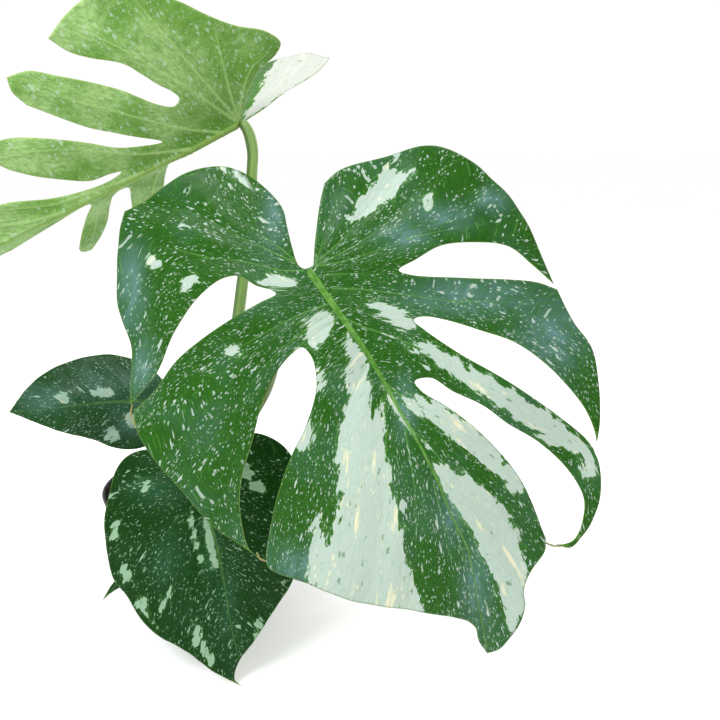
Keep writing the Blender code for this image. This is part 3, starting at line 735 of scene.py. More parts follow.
def make_stalk(name, route, across, radius, material, node, sides=24, step=1.6 * MM):
    """A tube along a route. Its skin attribute is the angle's cosine and sine round it, and mm along it.

    radius gives its radius from the share along it and the angles round it, where 0 is towards across.
    """
    centres, ways = rings(route, step)
    count = len(centres)
    turns = np.linspace(0, 2 * math.pi, sides, endpoint=False)
    signed = np.where(turns > math.pi, turns - 2 * math.pi, turns)
    lengths = np.arange(count) * step / MM
    points, marks = [], []
    for index, (centre, way) in enumerate(zip(centres, ways)):
        way = Vector(way)
        across = (across - way * across.dot(way)).normalized()
        other = way.cross(across)
        reach = radius(index / (count - 1), signed)
        for turn, out in zip(turns, reach):
            around = across * math.cos(turn) + other * math.sin(turn)
            points.append(Vector(centre) + around * out)
            marks.append((math.cos(turn), math.sin(turn), lengths[index]))
    piece = new_piece(name, points, tube_faces(count, sides), [material], node)
    set_attribute(piece.data, "skin", np.array(marks))


def stalk_base(turn, height, radius):
    """Where a stalk starts, beside the stem: turn in degrees round it, height in mm above the soil."""
    away = STEM_RADIUS + radius + FIT_GAP
    angle = math.radians(turn)
    return CROWN + Vector((math.cos(angle) * away, math.sin(angle) * away, height * MM))


def blade_back(joint, bend, at):
    """A point on the back of a facing blade, and the way straight out of it."""
    corners = facing_blade(joint, np.array([at, (at[0] + 1, at[1]), (at[0], at[1] + 1)]), bend)
    right, up = corners[1] - corners[0], corners[2] - corners[0]
    return Vector(corners[0]), Vector(np.cross(up, right)).normalized()


# A petiole's forms: shares of its length, heights as shares of its radius, and angles in radians
SWELLING, SWELLING_AT, SWELLING_LENGTH = 0.10, 0.95, 0.035
WINGED_TO, ROUND_FROM = 0.12, 0.42
CHANNEL_DEPTH, CHANNEL_WIDTH = 0.30, 0.42
WING_HEIGHT, WING_AT, WING_WIDTH = 0.22, 0.72, 0.22
FAINT_DEPTH, FAINT_WIDTH = 0.07, 0.5
BLUNTNESS = 1.02  # just over 1, so that the rounded end keeps a small flat face


def petiole_radius(base, end, length):
    """The radius of a petiole, which is swollen a little below the blade and ends blunt.

    Low down it has a channel between two wings, and higher up only a faint groove.
    """
    def radius(share, angle):
        plain = base + (end - base) * math.sqrt(share)
        plain *= 1 + SWELLING * hump(share - SWELLING_AT, SWELLING_LENGTH)
        rounding = max(0, 1 - (1 - share) * length / end)
        plain *= math.sqrt(BLUNTNESS - rounding ** 2)
        winged = float(1 - eased(share, WINGED_TO, ROUND_FROM))
        wings = WING_HEIGHT * hump(np.abs(angle) - WING_AT, WING_WIDTH)
        wings = wings - CHANNEL_DEPTH * hump(angle, CHANNEL_WIDTH)
        faint = FAINT_DEPTH * hump(angle, FAINT_WIDTH)
        return plain * (1 + winged * wings - (1 - winged) * faint)
    return radius


def make_petiole(name, node, turn, height, middle, back, base_radius, end_radius, material):
    """A leaf stalk from the stem, through its middle points in mm from the crown, to its blade's back."""
    joint, out = back
    base = stalk_base(turn, height, base_radius)
    inwards = Vector((CROWN.x - base.x, CROWN.y - base.y, 0)).normalized()
    root = base + inwards * (base_radius + GROWN_SHARE * STEM_RADIUS) - Vector((0, 0, GROWN_IN))
    route = [root, base - Vector((0, 0, 1 * MM)), base + Vector((0, 0, FIRST_RISE))]
    route += [CROWN + Vector(point) * MM for point in middle]
    route += [joint + out * (STALK_END + 2 * end_radius), joint + out * STALK_END]
    length = len(smooth_curve(route, 1 * MM)) * MM
    make_stalk(name, route, inwards, petiole_radius(base_radius, end_radius, length), material,
               node)


LEAF_SHINE = 0.1  # specular level of the leaves' skin


def rgb(red, green, blue):
    """A colour written as it looks on a screen, 0 to 255, in the linear form that shaders take."""
    shares = (value / 255 for value in (red, green, blue))
    return tuple(s / 12.92 if s <= 0.04045 else ((s + 0.055) / 1.055) ** 2.4 for s in shares) + (1.0,)


class Skin:
    """One material's shader tree, with short ways to add nodes. Sizes are in the coordinates' own units."""

    def __init__(self, name):
        self.material = bpy.data.materials.new(name)
        self.material.use_nodes = True
        self.tree = self.material.node_tree
        self.surface = self.tree.nodes["Principled BSDF"]
        self.colour = None

    def node(self, kind, settings, inputs):
        """Adds a node. An input given as another node's output is linked, and any other is set."""
        made = self.tree.nodes.new("ShaderNode" + kind)
        for key, value in settings.items():
            setattr(made, key, value)
        for key, value in inputs.items():
            self.feed(made.inputs[key], value)
        return made

    def feed(self, socket, value):
        if isinstance(value, bpy.types.NodeSocket):
            self.tree.links.new(value, socket)
        else:
            socket.default_value = value

    def finish(self, roughness, height, depth, **plain):
        """Links the surface's colour, roughness and bump, and sets its plain values."""
        self.feed(self.surface.inputs["Base Color"], self.colour)
        self.feed(self.surface.inputs["Roughness"], roughness)
        for key, value in plain.items():
            self.feed(self.surface.inputs[key.replace("_", " ")], value)
        bump = self.node("Bump", {}, {"Height": height, "Distance": depth, "Strength": 1.0})
        self.feed(self.surface.inputs["Normal"], bump.outputs["Normal"])
        return self.material

    def attributes(self, output, *names):
        return [self.node("Attribute", {"attribute_name": name}, {}).outputs[output] for name in names]

    def position(self):
        return self.node("TexCoord", {}, {}).outputs["Object"]

    def math(self, operation, first, second=0.0):
        return self.node("Math", {"operation": operation}, {0: first, 1: second}).outputs[0]

    def plus(self, first, second):
        return self.math("ADD", first, second)

    def times(self, first, second):
        return self.math("MULTIPLY", first, second)

    def ramp(self, value, low, high, start=0.0, end=1.0):
        """A smooth step from start, where the value is low, to end, where it is high."""
        return self.node("MapRange", {"interpolation_type": "SMOOTHSTEP"}, {
            "Value": value, "From Min": low, "From Max": high, "To Min": start, "To Max": end,
        }).outputs["Result"]

    def mix(self, share, first, second):
        return self.node("Mix", {"data_type": "RGBA"}, {0: share, 6: first, 7: second}).outputs[2]

    def paint(self, share, colour):
        """Lays a colour over the skin's own."""
        self.colour = self.mix(share, self.colour, colour)

    def scaled(self, coords, size, seed):
        """Coordinates in which one feature is about 1 across. size is one number or one for each axis."""
        sizes = size if isinstance(size, tuple) else (size, size, size)
        return self.node("VectorMath", {"operation": "MULTIPLY_ADD"}, {
            0: coords, 1: tuple(1 / s for s in sizes), 2: (seed, seed * 1.7, seed * 0.6),
        }).outputs[0]

    def noise(self, coords, size, seed, detail=2.0):
        return self.node("TexNoise", {}, {
            "Vector": self.scaled(coords, size, seed), "Scale": 1.0, "Detail": detail,
        }).outputs["Fac"]

    def flakes(self, coords, size, share, girth, seed, crowd=0.0, jagged=0.5, metric="EUCLIDEAN"):
        """Scattered irregular flecks: share is how many cells hold one, and crowd moves that up or down."""
        at = self.scaled(coords, size, seed)
        shake = self.node("TexNoise", {}, {"Vector": at, "Scale": 1.9, "Detail": 3.0}).outputs["Color"]
        at = self.node("VectorMath", {"operation": "MULTIPLY_ADD"}, {
            0: shake, 1: (jagged, jagged, 0), 2: at,
        }).outputs[0]
        cells = self.node("TexVoronoi", {"distance": metric}, {"Vector": at, "Scale": 1.0})
        draw = self.node("SeparateColor", {}, {0: cells.outputs["Color"]})
        chosen = self.ramp(self.plus(draw.outputs[0], crowd), 1 - share, 1.02 - share)
        reach = self.plus(self.times(draw.outputs[1], girth), girth * 0.35)
        spot = self.ramp(self.math("SUBTRACT", reach, cells.outputs["Distance"]), 0.0, 0.09)
        return self.times(chosen, spot)

    def scatter(self, coords, crowd, busy, layers):
        """Paints layers of flakes: size, share, girth, seed, jaggedness, metric, strength and colour."""
        for size, share, girth, seed, jagged, metric, strength, colour in layers:
            flakes = self.flakes(coords, size, share * busy, girth, seed, crowd, jagged, metric)
            self.paint(self.times(flakes, strength), colour)

    def net(self, coords, size):
        """How far each point is from the edges of irregular cells, which are about 1 across."""
        return self.node("TexVoronoi", {"feature": "DISTANCE_TO_EDGE"}, {
            "Vector": self.scaled(coords, size, 3.0), "Scale": 1.0,
        }).outputs["Distance"]


def variegated(name, greens, pale, cream, fleck, painted_light_amount, busy, rough, rib_share, vein_share):
    """A leaf's upper skin: green, dusted and splashed with pale flecks that run along its veins.

    greens are the leaf's own, its painted sheen's and its streaks'; on the folded leaf the second is a lit
    green, painted light. painted_light_amount is how much of the second green is painted in random drifts,
    busy is how many flecks there are, rough is the skin's roughness, and the shares are how clearly midrib
    and veins show.
    """
    skin = Skin(name)
    flow, flat = skin.attributes("Vector", "flow", "flat")
    white, vein, midrib, edge, painted_light_spots = skin.attributes("Fac", "white", "vein", "midrib", "edge", "painted_light")

    crowd = skin.ramp(skin.noise(flat, 30, 3.1), 0.3, 0.7, -0.13, 0.13)
    # Painted sheen: a bluer green, and on the folded leaf a lit green, laid in random drifts and in the
    # painted light spots.
    painted_light_drift = skin.ramp(skin.noise(flat, 38, 7.7), 0.45, 0.7, 0.0, painted_light_amount)
    streaky = skin.ramp(skin.noise(flow, (4, 15, 1), 27.0, 3), 0.3, 0.7, 0.4, 0.95)
    skin.colour = skin.mix(skin.plus(painted_light_drift, skin.times(painted_light_spots, streaky)), greens[0], greens[1])
    skin.paint(skin.ramp(skin.noise(flow, (1.6, 4.5, 1), 1.3, 3), 0.35, 0.75, 0.0, 0.45), greens[2])
    skin.paint(skin.ramp(vein, 0.1, 1.0, vein_share, 0.0), fleck)

    skin.scatter(flow, crowd, busy, (
        ((0.6, 1.2, 1), 0.42, 0.38, 2.9, 0.7, "EUCLIDEAN", 0.4, fleck),
        ((0.85, 2.6, 1), 0.48, 0.35, 5.3, 0.9, "EUCLIDEAN", 0.7, pale),
        ((1.7, 6.5, 1), 0.32, 0.34, 8.1, 1.1, "MANHATTAN", 0.85, pale),
        ((3.4, 13, 1), 0.20, 0.34, 11.9, 0.9, "MANHATTAN", 0.9, pale),
        ((7, 21, 1), 0.08, 0.33, 21.3, 1.0, "MANHATTAN", 0.9, pale),
    ))
    wisps = skin.flakes(flow, (1.4, 17, 1), 0.26 * busy, 0.32, 31.7, crowd, 0.7, "MANHATTAN")
    skin.paint(skin.times(wisps, skin.ramp(midrib, 4, 42, 0.85, 0.0)), pale)

    # The pale patches' edges are torn along the veins, and less so beside the midrib.
    calm = skin.ramp(midrib, 1.0, 12.0, 0.35, 1.0)
    torn = skin.ramp(skin.noise(flow, (4.2, 12, 1), 4.4, 3), 0.3, 0.7, -2.6, 2.6)
    frayed = skin.ramp(skin.noise(flow, (1.3, 3.4, 1), 9.1, 2), 0.3, 0.7, -0.9, 0.9)
    depth = skin.plus(white, skin.times(calm, skin.plus(torn, frayed)))
    skin.paint(skin.ramp(depth, -2.6, 0.2, 0.0, 0.3), fleck)
    ground = skin.colour
    skin.colour = skin.mix(skin.ramp(skin.noise(flow, (5, 26, 1), 6.2, 3), 0.6, 0.72, 0.0, 0.7), pale, cream)
    skin.paint(skin.ramp(skin.noise(flow, (0.9, 7, 1), 12.5, 2), 0.55, 0.7, 0.0, 0.16), fleck)
    net = skin.net(flow, (5, 9, 1))
    skin.paint(skin.ramp(net, 0.0, 0.06, 0.12, 0.0), fleck)
    skin.paint(skin.ramp(vein, 0.0, 0.6, 0.5, 0.0), fleck)
    skin.scatter(flow, 0.0, 1.0, (
        ((2.0, 6, 1), 0.16, 0.3, 14.2, 1.0, "EUCLIDEAN", 0.55, greens[2]),
        ((1.8, 5, 1), 0.2, 0.3, 17.2, 1.0, "EUCLIDEAN", 0.5, cream),
    ))
    skin.colour = skin.mix(skin.ramp(depth, -0.2, 0.2), ground, skin.colour)

    rib = skin.mix(skin.ramp(skin.noise(flat, 6, 2.2), 0.3, 0.7), rgb(68, 116, 36), rgb(94, 138, 62))
    skin.paint(skin.ramp(midrib, -0.5, 0.45, rib_share, 0.0), rib)
    skin.paint(skin.ramp(edge, 0.2, 0.8, 0.55, 0.0), rgb(84, 118, 44))

    roughness = skin.ramp(skin.noise(flow, (2.2, 5, 1), 15.0), 0.3, 0.7, rough - 0.05, rough + 0.09)
    height = skin.plus(skin.ramp(net, 0.0, 0.16), skin.times(skin.noise(flat, 0.8, 1.0), 0.35))
    return skin.finish(roughness, height, 0.07 * MM, Specular_IOR_Level=LEAF_SHINE)


def leaf_underside(name, green, bright, shade, blotch, busy):
    """A leaf's lower skin: matt and lighter, with soft pale blotches that show through from above, and
    painted shade where the painted light spots lie.
    """
    skin = Skin(name)
    flow, flat = skin.attributes("Vector", "flow", "flat")
    white, vein, midrib, edge, shaded = skin.attributes("Fac", "white", "vein", "midrib", "edge", "painted_light")

    crowd = skin.ramp(skin.noise(flat, 34, 3.1), 0.3, 0.7, -0.13, 0.13)
    net = skin.net(flow, (3.6, 8, 1))
    skin.colour = skin.mix(skin.ramp(skin.noise(flat, 30, 7.7), 0.35, 0.65), green, bright)
    skin.paint(skin.ramp(skin.noise(flow, (1.8, 5, 1), 1.3, 3), 0.35, 0.75, 0.0, 0.5), shade)
    skin.paint(skin.ramp(net, 0.0, 0.08, 0.3, 0.0), shade)
    # Painted shade: darker where the painted light spots lie, such as the folded leaf's back near its joint.
    skin.paint(skin.times(shaded, 0.75), shade)
    skin.scatter(flat, crowd, busy, (
        ((1.4, 1.9, 1), 1.0, 0.36, 5.3, 0.9, "EUCLIDEAN", 0.4, blotch),
        ((2.8, 4.6, 1), 0.8, 0.34, 8.1, 1.0, "EUCLIDEAN", 0.5, blotch),
        ((6.5, 10, 1), 0.5, 0.33, 11.9, 1.2, "MANHATTAN", 0.62, blotch),
    ))

    torn = skin.ramp(skin.noise(flow, (3, 14, 1), 4.4, 3), 0.25, 0.75, -3.5, 3.5)
    mottled = skin.ramp(skin.noise(flow, (5, 24, 1), 6.2, 3), 0.5, 0.72, 0.0, 0.35)
    snow = skin.mix(mottled, rgb(186, 190, 182), bright)
    skin.paint(skin.ramp(skin.plus(white, torn), -0.4, 0.6, 0.0, 0.92), snow)

    skin.paint(skin.ramp(vein, 0.4, 2.0, 0.6, 0.0), rgb(148, 178, 110))
    skin.paint(skin.ramp(midrib, -0.4, 0.6, 0.8, 0.0), rgb(130, 160, 80))
    skin.paint(skin.ramp(edge, 0.2, 1.0, 0.6, 0.0), rgb(150, 170, 104))
    height = skin.plus(skin.ramp(net, 0.0, 0.14, 1.0, 0.0), skin.times(skin.noise(flat, 0.8, 1.0), 0.4))
    roughness = skin.ramp(skin.noise(flat, 5, 15.0), 0.3, 0.7, 0.5, 0.62)
    return skin.finish(roughness, height, 0.08 * MM, Specular_IOR_Level=LEAF_SHINE)


def stalk_skin(name, light, dark, pale):
    """A petiole: green streaks along it, pale flecks, and a darker base."""
    skin = Skin(name)
    (around,) = skin.attributes("Vector", "skin")
    streaks = skin.noise(around, (0.30, 0.30, 60), 1.0, 3)
    skin.colour = skin.mix(skin.ramp(streaks, 0.35, 0.65, 0.0, 0.6), light, dark)
    fine = skin.noise(around, (0.12, 0.12, 22), 4.0, 2)
    skin.paint(skin.ramp(fine, 0.52, 0.7, 0.0, 0.5), pale)
    flecks = skin.flakes(around, (0.34, 0.34, 5.5), 0.22, 0.34, 6.0, 0.0, 0.5)
    skin.paint(skin.times(flecks, 0.45), pale)
    side = skin.node("SeparateXYZ", {}, {0: around}).outputs
    skin.paint(skin.ramp(side[0], 0.0, 0.85, 0.0, 0.9), dark)
    skin.paint(skin.ramp(side[2], 5, 60, 0.6, 0.0), rgb(96, 104, 52))
    height = skin.plus(fine, skin.times(skin.noise(around, (0.4, 0.4, 1.5), 8.0), 0.5))
    return skin.finish(skin.ramp(streaks, 0.3, 0.7, 0.38, 0.5), height, 0.15 * MM)


def bark_skin(name, green, brown, scar):
    """The short main stem: green-brown, ringed and corky."""
    skin = Skin(name)
    at = skin.position()
    rings_at = skin.noise(at, (0.02, 0.02, 0.0022), 2.0, 3)
    skin.colour = skin.mix(skin.ramp(skin.noise(at, 0.012, 5.0, 4), 0.38, 0.62), green, brown)
    skin.paint(skin.ramp(rings_at, 0.5, 0.66, 0.0, 0.75), scar)
    warts = skin.flakes(at, (0.0026, 0.0026, 0.0018), 0.3, 0.34, 3.0)
    skin.paint(skin.times(warts, 0.5), rgb(176, 160, 116))
    height = skin.plus(rings_at, skin.plus(skin.times(warts, 0.5), skin.noise(at, 0.0012, 7.0)))
    return skin.finish(skin.ramp(rings_at, 0.3, 0.7, 0.6, 0.8), height, 0.4 * MM)


def root_skin():
    """Aerial roots: brown and corky, with olive stretches."""
    skin = Skin("aerial_root_cork")
    (around,) = skin.attributes("Vector", "skin")
    cork = skin.noise(around, (0.5, 0.5, 2.2), 2.0, 4)
    skin.colour = skin.mix(skin.ramp(cork, 0.35, 0.65), rgb(98, 74, 46), rgb(138, 110, 74))
    skin.paint(skin.ramp(skin.noise(around, (0.8, 0.8, 9), 6.0), 0.5, 0.7, 0.0, 0.6), rgb(92, 94, 52))
    return skin.finish(skin.ramp(cork, 0.3, 0.7, 0.65, 0.85), cork, 0.4 * MM)


def pot_skin():
    """Black moulded plastic: fine grain, faint flow lines, patches of dust and a few scuffs."""
    skin = Skin("pot_black_plastic")
    at = skin.position()
    grain = skin.noise(at, 0.0005, 1.0, 2)
    dust = skin.noise(at, (0.02, 0.02, 0.012), 3.0, 4)
    skin.colour = skin.mix(skin.ramp(dust, 0.42, 0.72, 0.0, 0.6), rgb(22, 23, 24), rgb(58, 56, 52))
    scuffs = skin.flakes(at, (0.012, 0.012, 0.0018), 0.14, 0.30, 6.0, 0.0, 0.8)
    skin.paint(skin.times(scuffs, 0.35), rgb(96, 95, 92))
    lines = skin.noise(at, (0.06, 0.06, 0.0016), 9.0, 2)
    height = skin.plus(skin.times(grain, 0.7), lines)
    return skin.finish(skin.ramp(dust, 0.35, 0.7, 0.34, 0.6), height, 0.12 * MM)


def soil_skin():
    """Damp peat and fine bark: dark brown crumbs with lighter fibres."""
    skin = Skin("potting_mix_peat")
    at = skin.position()
    crumbs = skin.noise(at, 0.0028, 1.0, 4)
    skin.colour = skin.mix(skin.ramp(crumbs, 0.35, 0.68), rgb(38, 27, 20), rgb(84, 62, 44))
    fibres = skin.flakes(at, (0.0012, 0.006, 0.0012), 0.16, 0.32, 4.0, 0.0, 0.9)
    skin.paint(skin.times(fibres, 0.6), rgb(140, 108, 72))
    damp = skin.noise(at, 0.03, 8.0, 2)
    skin.paint(skin.ramp(damp, 0.45, 0.65, 0.0, 0.45), rgb(26, 18, 13))
    return skin.finish(skin.ramp(damp, 0.35, 0.65, 0.95, 0.75), crumbs, 1.1 * MM)


def chip_skin():
    """Bark chips in the mix: red-brown, streaked and split."""
    skin = Skin("potting_mix_bark")
    at = skin.position()
    streak = skin.noise(at, (0.0011, 0.0052, 0.0016), 1.0, 4)
    skin.colour = skin.mix(skin.ramp(streak, 0.32, 0.68), rgb(62, 40, 28), rgb(138, 98, 66))
    skin.paint(skin.ramp(skin.noise(at, 0.014, 6.0), 0.4, 0.6, 0.0, 0.6), rgb(50, 36, 29))
    return skin.finish(skin.ramp(streak, 0.3, 0.7, 0.7, 0.9), streak, 0.8 * MM)


def perlite_skin():
    """Perlite: chalky off-white grains with pits and peat stains."""
    skin = Skin("potting_mix_perlite")
    at = skin.position()
    pits = skin.noise(at, 0.0007, 1.0, 3)
    skin.colour = skin.mix(skin.ramp(pits, 0.3, 0.6), rgb(176, 170, 158), rgb(232, 229, 222))
    stain = skin.ramp(skin.noise(at, 0.004, 5.0), 0.52, 0.68, 0.0, 0.7)
    skin.paint(stain, rgb(126, 104, 80))
    return skin.finish(skin.ramp(pits, 0.3, 0.7, 0.8, 0.95), pits, 0.4 * MM)


def thread_skin():
    """The dried threads at the slits: dull brown, still green in places."""
    skin = Skin("dried_thread")
    (around,) = skin.attributes("Vector", "skin")
    fade = skin.noise(around, (1, 1, 4), 2.0, 2)
    skin.colour = skin.mix(skin.ramp(fade, 0.35, 0.65), rgb(116, 96, 62), rgb(120, 134, 62))
    return skin.finish(skin.ramp(fade, 0.3, 0.7, 0.5, 0.7), fade, 0.2 * MM)


def floor_skin():
    """A plain pale floor, barely mottled."""
    skin = Skin("studio_floor")
    at = skin.position()
    soft = skin.noise(at, 0.6, 1.0, 2)
    skin.colour = skin.mix(skin.ramp(soft, 0.3, 0.7), (0.96, 0.96, 0.96, 1), (0.98, 0.98, 0.98, 1))
    return skin.finish(skin.ramp(soft, 0.3, 0.7, 0.85, 0.95), soft, 0.1 * MM)


# Sizes of the pot that the frame's boxes don't give
BASE_RADIUS = 54 * MM
POT_WALL = 1.8 * MM
RIM_BAND_HEIGHT = 14 * MM
RIM_BAND_STEP = 2.2 * MM
DRAIN_HOLE_RADIUS = 5 * MM
DRAIN_HOLE_COUNT = 8
DRAIN_HOLE_INSET = 13 * MM
DRAIN_HOLE_SIDES = 32
ROUND_STEPS = 128
LIP_RADIUS = 0.9 * MM
EDGE_ROUNDING = 1.2 * MM
FOOT_HEIGHT = 1.0 * MM
POT_CREASE = math.radians(40)  # edges of the pot that are sharper than this stay sharp


def wall_radius(height):
    """The pot's outer radius at a height, below its rim band."""
    return BASE_RADIUS + (RIM_RADIUS - RIM_BAND_STEP - BASE_RADIUS) * height / POT_HEIGHT


def inner_radius(height):
    """The pot's inner radius at a height."""
    low = wall_radius(POT_WALL) - POT_WALL
    high = RIM_RADIUS - POT_WALL
    return low + (high - low) * (height - POT_WALL) / (POT_HEIGHT - POT_WALL)


def arc(centre, radius, start, end, count):
    """Profile points (radius, height) on an arc, with its angles in degrees."""
    turns = np.radians(np.linspace(start, end, count))
    return [(centre[0] + radius * math.cos(t), centre[1] + radius * math.sin(t)) for t in turns]


def turned_mesh(profile, steps):
    """Points and faces of a solid of revolution. Its profile starts and ends on the axis."""
    turns = np.linspace(0, 2 * math.pi, steps, endpoint=False)
    points = [(0, 0, profile[0][1])]
    for radius, height in profile[1:-1]:
        points += [(radius * math.cos(turn), radius * math.sin(turn), height) for turn in turns]
    points.append((0, 0, profile[-1][1]))
    last = len(points) - 1
    faces = []
    for side in range(steps):
        after = (side + 1) % steps
        faces.append((0, 1 + after, 1 + side))
        for ring in range(len(profile) - 3):
            low, high = 1 + ring * steps, 1 + (ring + 1) * steps
            faces.append((low + side, low + after, high + after, high + side))
        top = 1 + (len(profile) - 3) * steps
        faces.append((top + side, top + after, last))
    return points, faces


def make_pot():
    """A tapered nursery pot with a footed base, a stepped rim band, a rolled lip and drain holes."""
    band = POT_HEIGHT - RIM_BAND_HEIGHT
    lip, soft, foot = LIP_RADIUS, EDGE_ROUNDING, FOOT_HEIGHT
    profile = [(0, foot), (BASE_RADIUS * 0.6, foot), (BASE_RADIUS - 4 * MM, foot), (BASE_RADIUS - 3 * MM, 0)]
    profile += arc((BASE_RADIUS - soft, soft), soft, -90, 0, 5)
    profile += [(wall_radius(height), height) for height in np.linspace(4 * MM, band - 2 * soft, 9)]
    step_in, step_out = wall_radius(band), wall_radius(band) + RIM_BAND_STEP
    profile += arc((step_in + 0.5 * soft, band - 0.5 * soft), 0.5 * soft, 180, 90, 4)
    profile += arc((step_out - 0.5 * soft, band + 0.5 * soft), 0.5 * soft, -90, 0, 4)
    profile += [(RIM_RADIUS - 0.3 * MM, POT_HEIGHT - 2.5 * lip)]
    profile += arc((RIM_RADIUS - lip, POT_HEIGHT - lip), lip, 0, 180, 9)
    profile += [(inner_radius(height), height) for height in np.linspace(POT_HEIGHT - lip, 5 * MM, 10)]
    floor_top = POT_WALL + foot
    profile += [(wall_radius(POT_WALL) - POT_WALL - 2 * MM, floor_top), (BASE_RADIUS * 0.5, floor_top),
                (0, floor_top)]
    points, faces = turned_mesh(profile, ROUND_STEPS)
    pot = new_piece("nursery_pot", points, faces, [pot_skin()], "pot")

    around = BASE_RADIUS - DRAIN_HOLE_INSET
    holes = bmesh.new()
    for index in range(DRAIN_HOLE_COUNT):
        turn = 2 * math.pi * index / DRAIN_HOLE_COUNT
        made = bmesh.ops.create_cone(holes, cap_ends=True, segments=DRAIN_HOLE_SIDES,
                                     radius1=DRAIN_HOLE_RADIUS, radius2=DRAIN_HOLE_RADIUS,
                                     depth=6 * POT_WALL)
        bmesh.ops.translate(holes, verts=made["verts"],
                            vec=(around * math.cos(turn), around * math.sin(turn), 0))
    mesh = bpy.data.meshes.new("drain_holes")
    holes.to_mesh(mesh)
    holes.free()
    cutter = add_object("drain_holes", mesh)
    cut = pot.modifiers.new("drain_holes", "BOOLEAN")
    cut.object = cutter
    graph = bpy.context.evaluated_depsgraph_get()
    bored = bpy.data.meshes.new_from_object(pot.evaluated_get(graph))
    pot.modifiers.clear()
    pot.data = bored
    bpy.data.objects.remove(cutter)
    bored.shade_smooth()
    bored.set_sharp_from_angle(angle=POT_CREASE)


# The stem's old leaf scars, as shares of its height above the soil
SCARS = (0.2, 0.45, 0.7)
SCAR_SWELLING, SCAR_SWELLING_WIDTH = 0.08, 0.045
SCAR_GROOVE, SCAR_GROOVE_WIDTH = 0.05, 0.012
STEM_SHOULDER = 0.86  # the share of its height where its top begins to round over
STEM_ROWS = 90
STEM_SIDES = 64


def make_stem(material):
    """The short main stem: ringed by old leaf scars, swollen at each, with a rounded top."""
    low, high = SOIL_LEVEL - 20 * MM, SOIL_LEVEL + STEM_HEIGHT
    points = []
    for row in range(STEM_ROWS):
        height = low + (high - low) * row / (STEM_ROWS - 1)
        above = (height - SOIL_LEVEL) / STEM_HEIGHT
        swell = SCAR_SWELLING * max(hump(above - at, SCAR_SWELLING_WIDTH) for at in SCARS)
        groove = SCAR_GROOVE * max(hump(above - at - 0.05, SCAR_GROOVE_WIDTH) for at in SCARS)
        crown = math.sqrt(max(0.0, 1 - max(0.0, (above - STEM_SHOULDER) / (1 - STEM_SHOULDER)) ** 2.2))
        for side in range(STEM_SIDES):
            turn = 2 * math.pi * side / STEM_SIDES
            lean = 0.02 * math.sin(2 * turn + above * 5) + 0.014 * math.sin(5 * turn - above * 17)
            radius = STEM_RADIUS * (0.9 + swell - groove + lean) * max(crown, 0.02)
            points.append((radius * math.cos(turn), radius * math.sin(turn), height))
    new_piece("main_stem", points, tube_faces(STEM_ROWS, STEM_SIDES), [material], "stem")


# The mix's materials, after the peat
CHIP_SLOT = 1
PERLITE_SLOT = 2
CHIP_TILT = 0.35  # how far a chip leans from lying flat, in radians


def lump(shape, rng, centre, sizes, slot, corners):
    """A broken grain: the hull of a few random points, turned at random."""
    angles = [rng.uniform(0, 6.3) for _ in range(3)]
    if slot == CHIP_SLOT:
        angles = [rng.uniform(-tilt, tilt) for tilt in (CHIP_TILT, CHIP_TILT)] + [rng.uniform(0, 6.3)]
    turn = Euler(angles).to_matrix()
    made = []
    for _ in range(corners):
        way = Vector([rng.gauss(0, 1) for _ in range(3)]).normalized()
        away = Vector([way[axis] * sizes[axis] for axis in range(3)]) * rng.uniform(0.8, 1.0)
        made.append(shape.verts.new(Vector(centre) + turn @ away))
    hull = bmesh.ops.convex_hull(shape, input=made)
    for item in hull["geom"]:
        if isinstance(item, bmesh.types.BMFace):
            item.material_index = slot
    left_over = hull["geom_interior"] + hull["geom_unused"]
    spare = {item for item in left_over if isinstance(item, bmesh.types.BMVert)}
    bmesh.ops.delete(shape, geom=list(spare), context="VERTS")


SOIL_TOP = SOIL_LEVEL - 2 * MM  # the mix's mean level, about which it rises and dips
SOIL_GAP = 1.2 * MM  # between the mix and the pot's wall
SOIL_ROWS = 60
SOIL_SIDES = 160
SOIL_CREASE = math.radians(38)  # edges of the grains that are sharper than this stay sharp


def soil_height(x, y):
    """How far the mix stands above or below its level, in metres."""
    broad = math.sin(x * 92 + 1.3 * math.sin(y * 61)) * math.cos(y * 79 + 0.6)
    fine = mathutils_noise.noise(Vector((x * 210, y * 210, 4.2)))
    finer = mathutils_noise.noise(Vector((x * 560, y * 560, 9.1)))
    return 1.1 * MM * broad + 1.9 * MM * fine + 0.9 * MM * finer


